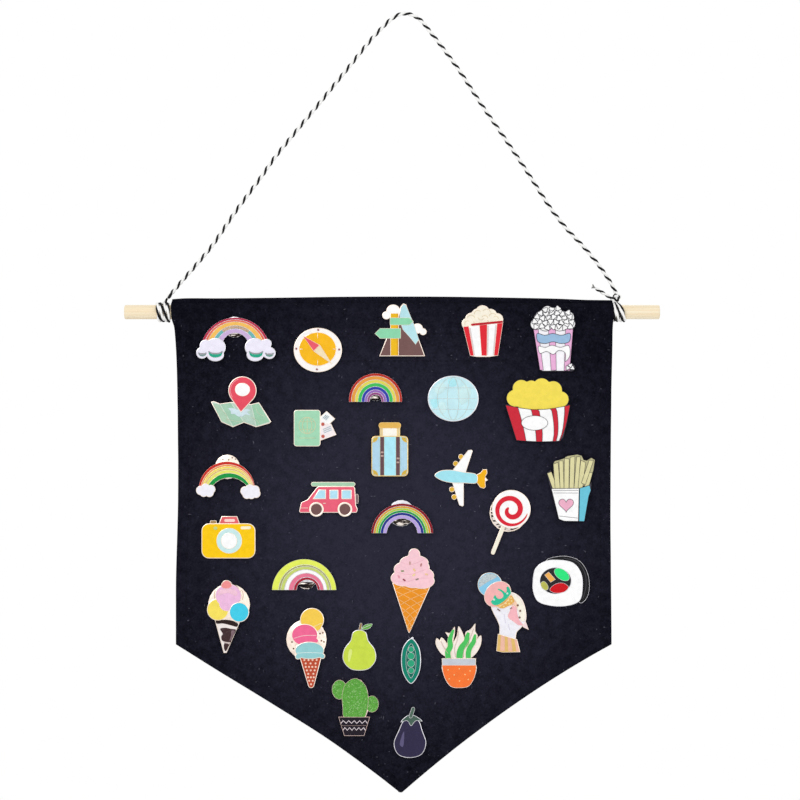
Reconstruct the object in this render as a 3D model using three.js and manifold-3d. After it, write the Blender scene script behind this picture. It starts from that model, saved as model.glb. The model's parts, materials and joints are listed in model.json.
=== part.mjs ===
// A hanging display board for pin badges: a pointed canvas banner sewn round a wooden
// dowel, a twisted cord lashed to the dowel ends, and enamel badges whose posts go
// through the canvas into butterfly clutches behind it.
// Millimetres. X runs to the right, Y to the back and Z up. The origin is the hanging
// point, where the underside of the cord's top bend rests on its nail.
import * as THREE from 'three';
import { mergeVertices } from 'three/addons/utils/BufferGeometryUtils.js';
import Module from 'manifold-3d';

const wasm = await Module();
wasm.setup();

// Gap kept between pieces that touch
const FIT = 0.3;

// Dowel
const DOWEL_LENGTH = 300;
const DOWEL_DIAMETER = 8;
const DOWEL_CHAMFER = 0.6;
const DOWEL_DROP = 166.3;
const DOWEL_SHIFT = -7.8;

// Banner
const CLOTH_THICKNESS = 1;
const BANNER_WIDTH = 242.4;
const BANNER_SIDE = 185.9;
const BANNER_POINT = 83.3;
const BANNER_SHIFT = -6.7;
const TIP_SHIFT = 3.9;
const LEFT_EDGE_BOW = 2.4;
const RIGHT_EDGE_BOW = 4.1;
const HEADING_HEIGHT = 0.7;
const HEADING_ARCH = 2.2;
const LAP_LENGTH = 30;

// Cord and its lashings
const CORD_DIAMETER = 2.3;
const LASHING_TURNS = 4;
const LEFT_LASHING_SHIFT = -128.2;
const RIGHT_LASHING_SHIFT = 126.6;
const KNOT_DIAMETER = 5.2;
const TAIL_REACH = 12.4;
const TAIL_RISE = 5;

// Badges
const PLATE_THICKNESS = 1.6;
const BASE_THICKNESS = 0.8;
const POST_DIAMETER = 1.1;
const POST_LENGTH = 8;

// Butterfly clutch
const CLUTCH_DIAMETER = 11.4;
const CLUTCH_RIM = 1.1;
const HUB_DIAMETER = 5.6;
const HUB_HEIGHT = 3;
const WING_WIDTH = 3.4;
const WING_LENGTH = 3.6;
const WING_THICKNESS = 0.7;

// Facets of round shapes
const DOWEL_SIDES = 24;
const LASHING_SIDES = 12;
const CORD_SIDES = 8;
const CLUTCH_SIDES = 10;
const POST_SIDES = 6;
const KNOT_SIDES = 8;
const CURVE_ERROR = 0.14;
const SPLINE_STEPS = 3;
const EDGE_STEPS = 5;
const CORD_STEPS = 72;
const TURN_FLANK = 0.9;

// What follows from the sizes above
const dowelRadius = DOWEL_DIAMETER / 2;
const cordRadius = CORD_DIAMETER / 2;
const pocketInner = dowelRadius + FIT;
const pocketOuter = pocketInner + CLOTH_THICKNESS;
const panelFront = -pocketOuter;
const panelBack = panelFront + CLOTH_THICKNESS;
const lapBack = panelBack + CLOTH_THICKNESS;
const badgeBack = panelFront - FIT;
const boreRadius = POST_DIAMETER / 2 + FIT;
const lashingInner = dowelRadius + FIT;
const lashingOuter = lashingInner + CORD_DIAMETER;

// Closed mesh to solid and back

function toSolid(geometry) {
  const bare = geometry.clone();
  bare.deleteAttribute('normal');
  bare.deleteAttribute('uv');
  const merged = mergeVertices(bare);
  const vertProperties = new Float32Array(merged.attributes.position.array);
  const triVerts = new Uint32Array(merged.index.array);
  return new wasm.Manifold(new wasm.Mesh({ numProp: 3, vertProperties, triVerts }));
}

function toGeometry(solid) {
  const mesh = solid.getMesh();
  const geometry = new THREE.BufferGeometry();
  geometry.setAttribute('position', new THREE.BufferAttribute(mesh.vertProperties, 3));
  geometry.setIndex(new THREE.BufferAttribute(mesh.triVerts, 1));
  geometry.computeVertexNormals();
  return geometry;
}

const joined = (geometries) => geometries.map(toSolid).reduce((sum, next) => sum.add(next));

// Flat sheet of a given outline: width along X, height along Z, back face at `back`
function sheet(outline, thickness, back) {
  const flat = new THREE.ExtrudeGeometry(outline, { depth: thickness, bevelEnabled: false });
  return flat.rotateX(Math.PI / 2).translate(0, back, 0);
}

// Round bar along X with its middle at the origin
function barAlongX(radius, length, sides) {
  return new THREE.CylinderGeometry(radius, radius, length, sides).rotateZ(Math.PI / 2);
}

// Round pin along Y between two depths
function pinAlongY(radius, front, back, sides) {
  const pin = new THREE.CylinderGeometry(radius, radius, back - front, sides);
  return pin.translate(0, (front + back) / 2, 0);
}

// Outlines in a badge's own plane, u to the right and v up

const vectors = (points) => points.map(([u, v]) => new THREE.Vector2(u, v));

const polygon = (points) => new THREE.Shape(vectors(points));

// Points of an arc from one angle to another, close enough to the true curve
function arc(u, v, radius, from, to) {
  const step = 2 * Math.acos(1 - CURVE_ERROR / radius);
  const count = Math.ceil(Math.abs(to - from) / step);
  return [...Array(count + 1).keys()].map((index) => {
    const angle = from + ((to - from) * index) / count;
    return [u + radius * Math.cos(angle), v + radius * Math.sin(angle)];
  });
}

function oval(u, v, halfWidth, halfHeight = halfWidth, turn = 0) {
  const ring = arc(0, 0, halfWidth, 0, 2 * Math.PI).slice(1);
  const squash = halfHeight / halfWidth;
  return polygon(ring.map(([a, b]) => [
    u + a * Math.cos(turn) - b * squash * Math.sin(turn),
    v + a * Math.sin(turn) + b * squash * Math.cos(turn),
  ]));
}

// Closed smooth curve through the points
function smooth(points) {
  const knots = points.map(([u, v]) => new THREE.Vector3(u, v, 0));
  const curve = new THREE.CatmullRomCurve3(knots, true);
  const steps = SPLINE_STEPS * points.length;
  return new THREE.Shape(curve.getPoints(steps).slice(0, steps));
}

function roundedBox(left, bottom, right, top, corner) {
  const quarter = Math.PI / 2;
  return polygon([
    ...arc(right - corner, top - corner, corner, 0, quarter),
    ...arc(left + corner, top - corner, corner, quarter, 2 * quarter),
    ...arc(left + corner, bottom + corner, corner, 2 * quarter, 3 * quarter),
    ...arc(right - corner, bottom + corner, corner, 3 * quarter, 4 * quarter),
  ]);
}

// Round-ended bar between two points
function capsule([u0, v0], [u1, v1], radius) {
  const side = Math.atan2(v1 - v0, u1 - u0) + Math.PI / 2;
  const farEnd = arc(u1, v1, radius, side - Math.PI, side);
  const nearEnd = arc(u0, v0, radius, side, side + Math.PI);
  return polygon([...farEnd, ...nearEnd]);
}

// Arch between an outer and an inner circle, cut off level at the base
function arch(base, outer, inner) {
  const outerFoot = Math.asin((base - outer.v) / outer.radius);
  const innerFoot = Math.asin((base - inner.v) / inner.radius);
  return polygon([
    ...arc(outer.u, outer.v, outer.radius, outerFoot, Math.PI - outerFoot),
    ...arc(inner.u, inner.v, inner.radius, Math.PI - innerFoot, innerFoot),
  ]);
}

// Points from one corner towards the next along an edge that bows in to its left
function bowed([u0, v0], [u1, v1], bow) {
  const length = Math.hypot(u1 - u0, v1 - v0);
  return [...Array(EDGE_STEPS).keys()].map((index) => {
    const share = index / EDGE_STEPS;
    const inset = (4 * bow * share * (1 - share)) / length;
    return [
      u0 + (u1 - u0) * share - (v1 - v0) * inset,
      v0 + (v1 - v0) * share + (u1 - u0) * inset,
    ];
  });
}

// The same ovals on the left and on the right
const mirrored = (ovals) => ovals.flatMap(([u, ...rest]) => [oval(u, ...rest), oval(-u, ...rest)]);

// Badges. `at` is the badge's middle, right of the banner's middle and above the dowel
// axis. `post` and the round base plate, where it has one, are in the badge's own plane.
const badges = [
  {
    name: 'rainbow_clouds', at: [-88.5, -15], post: [-12.5, -5.5], base: [-0.6, 6.4, 5.9],
    colour: 0xe8a34a,
    outlines: () => [
      arch(-2.5, { u: 0, v: -7.8, radius: 19.5 }, { u: 0, v: -4.4, radius: 7.5 }),
      ...mirrored([
        [-11, -4.9, 5.7, 5.2], [-16.4, -4.1, 3.5], [-18.5, -8, 3.3], [-11.1, -9.2, 4.8, 3.6],
      ]),
      oval(17.7, -2.8, 2.6), oval(19.1, -8.1, 3.4),
    ],
  },
  {
    name: 'compass', at: [-42.7, -21.4], post: [0, 0], colour: 0xf5c211,
    outlines: () => [oval(0.2, 0, 13.5, 12.4)],
  },
  {
    name: 'mountain_signpost', at: [3.6, -10.2], post: [2, -5], colour: 0x6f5048,
    outlines: () => [
      polygon([[-11.9, -14.7], [13.8, -14.7], [3.2, 14.2], [1.6, 14.8], [0, 13], [-1.2, 8], [-8, -5]]),
      polygon([[-5.7, -14.7], [-0.9, -14.7], [-0.9, 9.4], [-5.7, 9.4]]),
      polygon([[-6, 2.6], [5, 2.6], [7.5, 4.7], [5, 6.9], [-6, 6.9]]),
      polygon([[-14.5, -2], [-11.4, 1], [0.3, 1], [0.3, -4.9], [-11.4, -4.9]]),
      oval(-4, 10.2, 4), oval(-7.9, 8.1, 2.3), oval(9.6, 0.8, 2.9), oval(12.6, -1, 2),
    ],
  },
  {
    name: 'popcorn_box', at: [49.2, -10.5], post: [0, -5], colour: 0xd62839,
    outlines: () => [
      polygon([[-6.8, -14.2], [-3, -14.8], [4, -14.8], [8.9, -14], [11.8, 4.8], [-10.8, 2.2]]),
      oval(-8.1, 3.7, 3.4), oval(-5.8, 6.2, 3.8), oval(-2.6, 8.6, 3.6), oval(0.2, 10, 4.1),
      oval(4.6, 8.2, 3.9), oval(8.3, 6.2, 3.5), oval(0, 5.6, 6), oval(6.4, 4.6, 3.4),
    ],
  },
  {
    name: 'popcorn_cup', at: [88.5, -15], post: [0, -1], colour: 0xe9a9cf,
    outlines: () => [
      polygon([[-7.2, -17.4], [-5.8, -18.3], [9.6, -18.3], [11.7, 7], [-11.1, 7]]),
      oval(-9.2, 8, 3.3), oval(-6.6, 11.8, 3.6), oval(-2.8, 14.8, 3.6), oval(2, 13.8, 3.8),
      oval(5.6, 12.2, 3.3), oval(8.4, 11.6, 3.8), oval(9.5, 8.2, 3.3), oval(-4, 8.4, 4.4),
      oval(0.4, 11, 3.4), oval(4, 8.4, 4.4), oval(9.9, -16.2, 2.8, 2.3),
    ],
  },
  {
    name: 'map_pin', at: [-85.5, -50.4], post: [0.4, -3], colour: 0x9cc7a4,
    outlines: () => [
      polygon([
        [-16.7, 0.1], [-15, 0.5], [-11.6, -0.9], [-5.4, 0], [5.8, -1.2], [10.2, -0.1],
        [17, -11], [16, -12], [8.6, -14.1], [1.8, -11.6], [-4.4, -14.1], [-10.9, -11.2],
      ]),
      oval(0.95, 6.4, 7.9), polygon([[0.1, -6], [7.4, 3.4], [-5.8, 3.4]]),
    ],
  },
  {
    name: 'rainbow_small', at: [-10.6, -42.3], post: [0, -1.5], base: [0.3, -2.4, 5.2], colour: 0xd8382e,
    outlines: () => [
      arch(-8.1, { u: 0.3, v: -7, radius: 14.9 }, { u: 0.3, v: -7.4, radius: 3.3 }),
    ],
  },
  {
    name: 'globe', at: [33, -48.5], post: [0, 0], colour: 0xb9e3ee,
    outlines: () => [oval(0, 0, 14.2, 12.8)],
  },
  {
    name: 'popcorn_bucket', at: [80.2, -54.9], post: [0, -2], colour: 0xf0d64b,
    outlines: () => [
      polygon([
        [-12, -17], [-2, -17.8], [12.4, -17.6], [14.3, -15.2], [16.3, -7.4], [18.2, 3], [-18.2, 3],
      ]),
      oval(-12.6, 6.6, 5), oval(-9.2, 12, 5.1), oval(-3.6, 12.4, 4.4), oval(2.2, 12.8, 5.2),
      oval(8.6, 11.2, 5.2), oval(12.8, 6, 4.7), oval(-5, 5, 7), oval(5.4, 5, 7),
    ],
  },
  {
    name: 'passport', at: [-44.4, -64.7], post: [-3, 0], colour: 0x92d3ad,
    outlines: () => [
      roundedBox(-11.5, -10.5, 3.4, 9.9, 1.6),
      polygon([[2, 5], [6.8, 9.4], [11.7, 4.9], [7.4, 1], [2, 0]]),
      polygon([[2, 2], [9.3, 2.3], [12.3, -4.1], [2, -7.8]]),
    ],
  },
  {
    name: 'suitcase', at: [-2.5, -76.7], post: [0, -3], colour: 0xa9dcef,
    outlines: () => [
      roundedBox(-10.1, -15.2, 10.4, 7.4, 2.4),
      polygon([[-5.5, 5], [5.9, 5], [5.9, 12.4], [-5.5, 12.4]]),
      roundedBox(-6.1, 11, 6.4, 15, 1.7),
    ],
  },
  {
    name: 'airplane', at: [37.4, -92.6], post: [-1.5, 0.8], colour: 0x9fdcec,
    outlines: () => [
      smooth([
        [-14.9, 1.3], [-12, 3.7], [-6, 4.4], [1.6, 3.2], [8.8, 1.7],
        [8.8, -2.9], [1.6, -3.1], [-6, -2.9], [-12, -1.2],
      ]),
      polygon([[-5.3, 3.5], [2.6, 2.6], [6.5, 14.8], [6, 15.6], [3.9, 15.4]]),
      polygon([[-5.2, -2], [1.6, -2], [1.6, -15.6], [0.8, -16.2], [-1.1, -15.4]]),
      oval(0, 11.6, 1.6), oval(-3, 7.8, 1.6), oval(-5.1, -6.6, 1.6), oval(-3.8, -10.8, 1.6),
      polygon([
        [8.4, 1.4], [11, 3], [12.2, 4.7], [14.5, 4.7], [14.7, 2.4], [13.6, 0.4], [15.2, -1.4],
        [13.6, -2.3], [13.8, -5.2], [12.8, -6.2], [10.6, -5.6], [8.6, -2.6],
      ]),
    ],
  },
  {
    name: 'rainbow_fluffy', at: [-92.7, -92.1], post: [0, 5.2], base: [-0.3, 5.5, 6.9], colour: 0xe4482e,
    outlines: () => [
      arch(-6.4, { u: -0.5, v: -7.2, radius: 15.7 }, { u: 1.1, v: -12.6, radius: 12.1 }),
      oval(-15, -7.6, 2.7), oval(-12.4, -6.4, 2.7), oval(-9.4, -7, 2.6), oval(-13.4, -9, 2.3),
      oval(-10.2, -8.9, 2.5), oval(9.7, -8, 2.7), oval(12.4, -6.8, 2.7), oval(15.2, -7.4, 2.7),
      oval(15.8, -9.4, 2.5), oval(10.7, -9.8, 2.6), oval(13.2, -10.1, 2.4),
    ],
  },
  {
    name: 'surf_van', at: [-36.6, -104.6], post: [1, -2], colour: 0xe2586a,
    outlines: () => [
      capsule([-8.5, 8.3], [13.8, 8.3], 1.3),
      polygon([
        [-16.4, -6.8], [-15.2, -1.8], [-11.7, -0.2], [-6.6, 6.4], [-5.6, 7.2], [14.2, 7.2], [14.9, 6],
        [15.4, -3.4], [16.3, -5.4], [16.1, -7], [15.5, -7.6], [-15.8, -7.6],
      ]),
      oval(-6.7, -5.7, 4.1), oval(9.2, -5.7, 4.1), capsule([15.9, -1.6], [15.9, 2], 1),
    ],
  },
  {
    name: 'rainbow_wide', at: [4.5, -114.4], post: [-0.5, 1.8], base: [-0.4, 1.9, 7.4], colour: 0x3f8f4e,
    outlines: () => [
      arch(-9.2, { u: 0.1, v: -10, radius: 17.4 }, { u: 0, v: -9.6, radius: 8.6 }),
    ],
  },
  {
    name: 'lollipop', at: [64.5, -117.5], post: [-0.6, 6], base: [-0.6, 5.2, 10.6], colour: 0xe9d9d2,
    outlines: () => [oval(0.9, 7.3, 10.8), capsule([-3.4, -2], [-9.3, -16.9], 1.2)],
  },
  {
    name: 'fries', at: [98.6, -98.2], post: [-1, -3], colour: 0xe6dc95,
    outlines: () => [
      polygon([
        [-13.3, 7.9], [-11.2, 10], [-8, 1], [10.6, 1.8], [11.6, 3.2], [11.4, -1.4], [10.1, -5],
        [7.7, -19], [-3.6, -18.8], [-6.8, -17.6],
      ]),
      polygon([
        [-9.5, 0], [-10, 13.4], [-9, 15], [-4.6, 16.2], [-2, 17.8], [3.6, 18.7], [6.2, 18],
        [7.4, 15.6], [9, 15.3], [11.4, 16.9], [13.7, 15.6], [12.8, 9.6], [11.8, 6], [10.4, 1],
      ]),
    ],
  },
  {
    name: 'camera', at: [-92.7, -125.9], post: [0, -2], colour: 0xf5c60e,
    outlines: () => [
      roundedBox(-14.7, -11.8, 15.4, 7.8, 4.2),
      polygon([[-5.3, 7], [-3.5, 11.8], [5.2, 11.8], [6.9, 7]]),
      roundedBox(-10, 6, -6.2, 9.5, 0.8),
    ],
  },
  {
    name: 'rainbow_lime', at: [-50.3, -146.8], post: [1, -0.6], base: [1.4, -3, 5.3], colour: 0xd3e34b,
    outlines: () => [
      arch(-8.5, { u: 0.2, v: -9.2, radius: 18 }, { u: 1.9, v: -8.6, radius: 5.8 }),
    ],
  },
  {
    name: 'soft_serve', at: [10.1, -155.5], post: [-0.5, 5], colour: 0xf0b9c6,
    outlines: () => [
      polygon([[-11.1, 4.2], [10.7, 3.2], [-1.3, -23.7], [-2.1, -23.7]]),
      oval(1.2, 20.2, 3.3), oval(1.1, 15.6, 8.1, 4.2), oval(-3.4, 11.8, 6.9, 4.4),
      oval(5, 12.6, 4.8, 4.2), oval(6.6, 8.2, 5.7, 4.4), oval(-4.6, 6.8, 7.4, 4.6),
      oval(5.6, 5.2, 7, 4.4), oval(0.6, 4.8, 6, 3.6),
    ],
  },
  {
    name: 'sushi', at: [92.7, -151], post: [0, -1], colour: 0xf2f1ee,
    outlines: () => [
      smooth([
        [-15.4, 0], [-13.8, 8], [-8, 12], [0, 12.6], [7.6, 10.8], [11.8, 5], [12.6, -3],
        [10.8, -10.4], [4, -13.2], [-5, -13.2], [-12.6, -10.6], [-15.2, -5],
      ]),
      smooth([
        [-8, 12], [-2, 14.5], [5, 14.5], [11, 12], [14.8, 6.8],
        [16.5, -1], [15.2, -8.4], [11.4, -11.8], [6, -4],
      ]),
    ],
  },
  {
    name: 'two_scoop_cone', at: [60.6, -167.8], post: [2, 4], colour: 0x9cc9e0,
    outlines: () => [
      oval(-7.1, 15.5, 6.9), oval(-2.8, 10.2, 8.2, 6.6, 0.7),
      smooth([
        [-6.4, 4], [-5.4, 0], [-3.2, -4.2], [-1.8, -8], [-1.3, -15], [6.6, -16.4], [7.9, -11.2],
        [10.4, -8.6], [13, -4.6], [13.2, -0.8], [11.8, 5.4], [9.2, 9.2], [4.4, 11.4], [-1, 8],
      ]),
      polygon([[9, -5], [12.6, -4], [14.8, -10], [11.4, -8.3]]),
      polygon([[-2.7, -11.8], [8.1, -15], [9.9, -22.2], [0, -22.4], [-3.6, -21.6]]),
    ],
  },
  {
    name: 'gold_cone', at: [-92.5, -169.7], post: [0, 6.4], base: [0.4, 6.1, 11.7], colour: 0xe6b3cf,
    outlines: () => [
      oval(-0.8, 16.8, 3.2), oval(0.2, 11.4, 7.3, 6.6), oval(-5.7, 3.5, 6.1), oval(6.2, 2.1, 5.6),
      oval(0, 4, 5.6), polygon([[-7.8, -1], [0, 0], [6.6, -3.6], [-0.8, -20.7], [-2.5, -20.7]]),
    ],
  },
  {
    name: 'scoop_stack', at: [-48.9, -187.3], post: [0.2, 4.3], base: [0, 4.3, 11.3], colour: 0xe77a97,
    outlines: () => [
      oval(3.2, 15.4, 6.7), oval(2.4, 11.4, 6.2, 3.2), oval(-0.9, 7, 7.4, 6.2), oval(1.8, -1.6, 8.2, 4.9),
      oval(9, -4.8, 1.6), oval(-4.6, -5, 1.7), polygon([[-4.2, -4], [8.9, -4], [4.5, -21], [0.9, -21]]),
      oval(2.7, -20.9, 1.8),
    ],
  },
  {
    name: 'pear', at: [-19.3, -187], post: [0, -4], colour: 0xc6da4a,
    outlines: () => [
      smooth([
        [0, 9.6], [3.6, 8.2], [5, 3.6], [8.6, -1.4], [9.2, -7.4], [5.4, -12.2],
        [0, -13.3], [-5.4, -12.2], [-9.2, -7.4], [-8.6, -1.4], [-5, 3.6], [-3.6, 8.2],
      ]),
      capsule([0, 8.6], [0.9, 12.6], 0.8),
      smooth([[0.8, 9.8], [3, 12.4], [7.4, 12.8], [5.4, 10]]),
    ],
  },
  {
    name: 'pea_pod', at: [9.5, -194.6], post: [0, 0], colour: 0x0e8a6f,
    outlines: () => [
      smooth([[0.3, 12.4], [4.2, 8], [5.6, 0], [4.2, -8], [0, -13.1], [-4.2, -8], [-5.6, 0], [-4.2, 8]]),
      capsule([0.2, 11.6], [0.8, 12.5], 0.7),
    ],
  },
  {
    name: 'succulent', at: [35.8, -191.8], post: [0.3, -8], colour: 0xe8762e,
    outlines: () => [
      smooth([[-3, -2], [-9.2, 0.6], [-12.7, 6.6], [-12, 9.7], [-9.6, 7.6], [-5.6, 4]]),
      smooth([[-9.4, 10.1], [-10.4, 4], [-5, 1], [-6.2, 6.6]]),
      smooth([
        [-6, -2], [-6.4, 6], [-5.6, 10], [-7.2, 13], [-4.6, 12.6],
        [-2, 16.2], [-1.8, 12], [-2.6, 8], [-2, -2],
      ]),
      smooth([[-3, -2], [-3.2, 6], [-0.8, 11], [0.2, 16.4], [2.6, 12.6], [3.4, 8], [0.8, 4], [1, -2]]),
      smooth([
        [0, -2], [0.6, 4], [3.4, 9], [4.2, 13.2], [6.8, 14.6],
        [9.6, 17.9], [9.6, 13.6], [11, 10.6], [6.8, 5], [5, -2],
      ]),
      smooth([[3, -2], [5.4, 5], [9.2, 8], [12.7, 11.3], [12.9, 6.6], [10, 1], [6, -2]]),
      polygon([[-9.2, -1.5], [10, -1.5], [9.8, -5.6], [-9, -5.6]]),
      smooth([[-8.8, -5], [9.8, -5], [9.6, -11], [6, -17.2], [0.8, -18.2], [-4.4, -17.4], [-8.2, -11]]),
    ],
  },
  {
    name: 'cactus', at: [-21.8, -220.6], post: [0, 2], colour: 0x58a832,
    outlines: () => [
      oval(0.2, 5.2, 7.4, 10.9), oval(-8.6, 9.7, 4.3, 5.5), oval(9.5, 1.7, 3.8, 4.7),
      polygon([[-6.4, -6], [-7.4, 5], [-5, 8], [7.2, 5], [7.4, -2], [5.8, -6]]),
      polygon([[-9.3, -5.4], [8.5, -5.4], [5.2, -16.1], [-6, -16.1]]),
    ],
  },
  {
    name: 'aubergine', at: [8.9, -234.8], post: [0, -3], colour: 0x3a2d5e,
    outlines: () => [
      smooth([
        [1.4, 9], [5, 6.6], [7, 1], [9.1, -6], [6.6, -12.2],
        [0, -14.2], [-6.6, -12.4], [-9.1, -6.4], [-6.4, 1], [-3, 7.4],
      ]),
      smooth([[2, 9.8], [7.2, 6.2], [3.4, 6.4], [0.6, 3.6], [-1.6, 6.4], [-5.4, 5.6], [-1.4, 9.6]]),
      capsule([0.4, 9], [1.8, 13.2], 1.1),
    ],
  },
];

// Small badges that are modelled with their post bare, without a clutch on it
const BADGES_WITHOUT_CLUTCH = ['pear', 'pea_pod', 'aubergine'];

// Where a badge's post goes through the cloth
function postPlace({ at, post }) {
  return [BANNER_SHIFT + at[0] + post[0], at[1] + post[1]];
}

// Plate, with a round base plate soldered behind it where the badge has one, and a post
function badgeGeometry({ post, base, outlines }) {
  const plateBack = base ? badgeBack - BASE_THICKNESS : badgeBack;
  const pieces = outlines().map((outline) => sheet(outline, PLATE_THICKNESS, plateBack));
  if (base) {
    pieces.push(sheet(oval(...base), BASE_THICKNESS, badgeBack));
  }
  const root = plateBack - PLATE_THICKNESS / 2;
  const pin = pinAlongY(POST_DIAMETER / 2, root, badgeBack + POST_LENGTH, POST_SIDES);
  pieces.push(pin.translate(post[0], 0, post[1]));
  return toGeometry(joined(pieces));
}

// Round cap with a hub, a bore for the post and two finger wings behind
function clutchGeometry() {
  const cap = pinAlongY(CLUTCH_DIAMETER / 2, 0, CLUTCH_RIM, CLUTCH_SIDES);
  const hub = pinAlongY(HUB_DIAMETER / 2, CLUTCH_RIM / 2, HUB_HEIGHT, CLUTCH_SIDES);
  const wingShift = (HUB_DIAMETER - WING_THICKNESS) / 2;
  const wingMiddle = HUB_HEIGHT - WING_THICKNESS + WING_LENGTH / 2;
  const wings = [-1, 1].map((side) => {
    const wing = new THREE.BoxGeometry(WING_THICKNESS, WING_LENGTH, WING_WIDTH);
    return wing.translate(side * wingShift, wingMiddle, 0);
  });
  const bore = pinAlongY(boreRadius, -FIT, HUB_HEIGHT + WING_LENGTH, POST_SIDES);
  return toGeometry(joined([cap, hub, ...wings]).subtract(toSolid(bore)));
}

// Canvas: a pentagon panel, a pocket sewn round the dowel, its lap behind the panel,
// an arched heading above the pocket and a hole for each post
function bannerGeometry() {
  const half = BANNER_WIDTH / 2;
  const low = -BANNER_SIDE;
  const tip = [TIP_SHIFT, low - BANNER_POINT];
  const leftEdge = bowed([-half, low], tip, LEFT_EDGE_BOW);
  const rightEdge = bowed(tip, [half, low], RIGHT_EDGE_BOW);
  const outline = polygon([[-half, 0], ...leftEdge, ...rightEdge, [half, low], [half, 0]]);
  const panel = sheet(outline, CLOTH_THICKNESS, panelBack);
  const sewn = CLOTH_THICKNESS / 2;
  const lapOutline = polygon([[-half, 0], [-half, -LAP_LENGTH], [half, -LAP_LENGTH], [half, 0]]);
  const lap = sheet(lapOutline, CLOTH_THICKNESS + sewn, lapBack);
  const headingFoot = pocketOuter - sewn;
  const headingEnd = pocketOuter + HEADING_HEIGHT;
  const archRadius = (half * half + HEADING_ARCH * HEADING_ARCH) / (2 * HEADING_ARCH);
  const archFoot = Math.acos(half / archRadius);
  const archTop = arc(0, headingEnd + HEADING_ARCH - archRadius, archRadius, archFoot, Math.PI - archFoot);
  const headingOutline = polygon([[-half, headingFoot], [half, headingFoot], ...archTop]);
  const heading = sheet(headingOutline, 2 * CLOTH_THICKNESS, CLOTH_THICKNESS);
  const pocket = barAlongX(pocketOuter, BANNER_WIDTH, DOWEL_SIDES);
  const hollow = barAlongX(pocketInner, BANNER_WIDTH + 2 * CLOTH_THICKNESS, DOWEL_SIDES);
  let cloth = joined([panel, lap, heading, pocket]).subtract(toSolid(hollow));
  for (const badge of badges) {
    const [x, z] = postPlace(badge);
    const hole = pinAlongY(boreRadius, panelFront - FIT, lapBack + FIT, POST_SIDES);
    cloth = cloth.subtract(toSolid(hole.translate(x - BANNER_SHIFT, 0, z)));
  }
  return toGeometry(cloth);
}

// Round rod with its end edges taken off
function dowelGeometry() {
  const half = DOWEL_LENGTH / 2;
  const shoulder = half - DOWEL_CHAMFER;
  const flat = dowelRadius - DOWEL_CHAMFER;
  const profile = [
    [0, -half], [flat, -half], [dowelRadius, -shoulder], [dowelRadius, shoulder], [flat, half], [0, half],
  ];
  return new THREE.LatheGeometry(vectors(profile), DOWEL_SIDES).rotateZ(-Math.PI / 2);
}

// Turns of cord wound side by side round the dowel
function windingGeometry() {
  const length = LASHING_TURNS * CORD_DIAMETER;
  const profile = [[lashingInner, -length / 2]];
  for (let turn = 0; turn < LASHING_TURNS; turn += 1) {
    const middle = (turn + 0.5) * CORD_DIAMETER - length / 2;
    for (const angle of [-TURN_FLANK, 0, TURN_FLANK]) {
      const height = lashingInner + cordRadius * (1 + Math.cos(angle));
      profile.push([height, middle + cordRadius * Math.sin(angle)]);
    }
  }
  profile.push([lashingInner, length / 2], profile[0]);
  return new THREE.LatheGeometry(vectors(profile), LASHING_SIDES).rotateZ(-Math.PI / 2);
}

// Winding with the knot that closes it and the knot's short tail
function knottedGeometry() {
  const knotHeight = lashingOuter + cordRadius;
  const knotShift = -cordRadius;
  const knotMiddle = new THREE.Vector3(knotShift, 0, knotHeight);
  const knot = new THREE.SphereGeometry(KNOT_DIAMETER / 2, KNOT_SIDES, KNOT_SIDES);
  const tailEnd = new THREE.Vector3(knotShift - TAIL_REACH, 0, knotHeight + TAIL_RISE);
  const tail = cordTube([knotMiddle, tailEnd], 1);
  return toGeometry(joined([windingGeometry(), knot.translate(...knotMiddle), tail]));
}

// Round cord along a smooth curve through the points
function cordTube(points, steps) {
  const path = new THREE.CatmullRomCurve3(points, false, 'centripetal');
  const section = [...Array(CORD_SIDES).keys()].map((side) => {
    const angle = (2 * Math.PI * side) / CORD_SIDES;
    return [cordRadius * Math.cos(angle), cordRadius * Math.sin(angle)];
  });
  return new THREE.ExtrudeGeometry(polygon(section), { steps, extrudePath: path, bevelEnabled: false });
}

// Route of the hanging cord from the left lashing over the nail to the right knot
const CORD_ROUTE = [
  [-133.8, -158.6], [-126.6, -150], [-109.5, -130], [-95.7, -110], [-80.9, -90], [-73.9, -80],
  [-65.9, -70], [-49.3, -50], [-33, -30], [-16.5, -10], [-5.9, -0.4], [0, 1.15], [7, -1.6],
  [14.3, -10], [29.3, -30], [42.4, -50], [56.2, -70], [69.5, -90], [75.8, -100], [82.5, -110],
  [90.5, -120], [99.9, -130], [108.1, -140], [114.9, -150], [117.8, -155.6],
];

// Assembly

function finish(color, roughness, metalness) {
  return new THREE.MeshStandardMaterial({ color, roughness, metalness });
}

const canvas = finish(0x21202a, 0.95, 0);
const wood = finish(0xf3dfbb, 0.6, 0);
const twine = finish(0x6b6a6c, 0.9, 0);
const plating = finish(0xd7b26a, 0.3, 1);

const board = new THREE.Group();

function add(name, geometry, material, x, y, z) {
  const piece = new THREE.Mesh(geometry, material);
  piece.name = name;
  piece.position.set(x, y, z);
  board.add(piece);
}

add('dowel', dowelGeometry(), wood, DOWEL_SHIFT, 0, -DOWEL_DROP);
add('banner_cloth', bannerGeometry(), canvas, BANNER_SHIFT, 0, -DOWEL_DROP);
const route = CORD_ROUTE.map(([x, z]) => new THREE.Vector3(x, 0, z));
add('hanging_cord', cordTube(route, CORD_STEPS), twine, 0, 0, 0);
add('left_lashing', windingGeometry(), twine, BANNER_SHIFT + LEFT_LASHING_SHIFT, 0, -DOWEL_DROP);
add('right_lashing', knottedGeometry(), twine, BANNER_SHIFT + RIGHT_LASHING_SHIFT, 0, -DOWEL_DROP);

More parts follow.
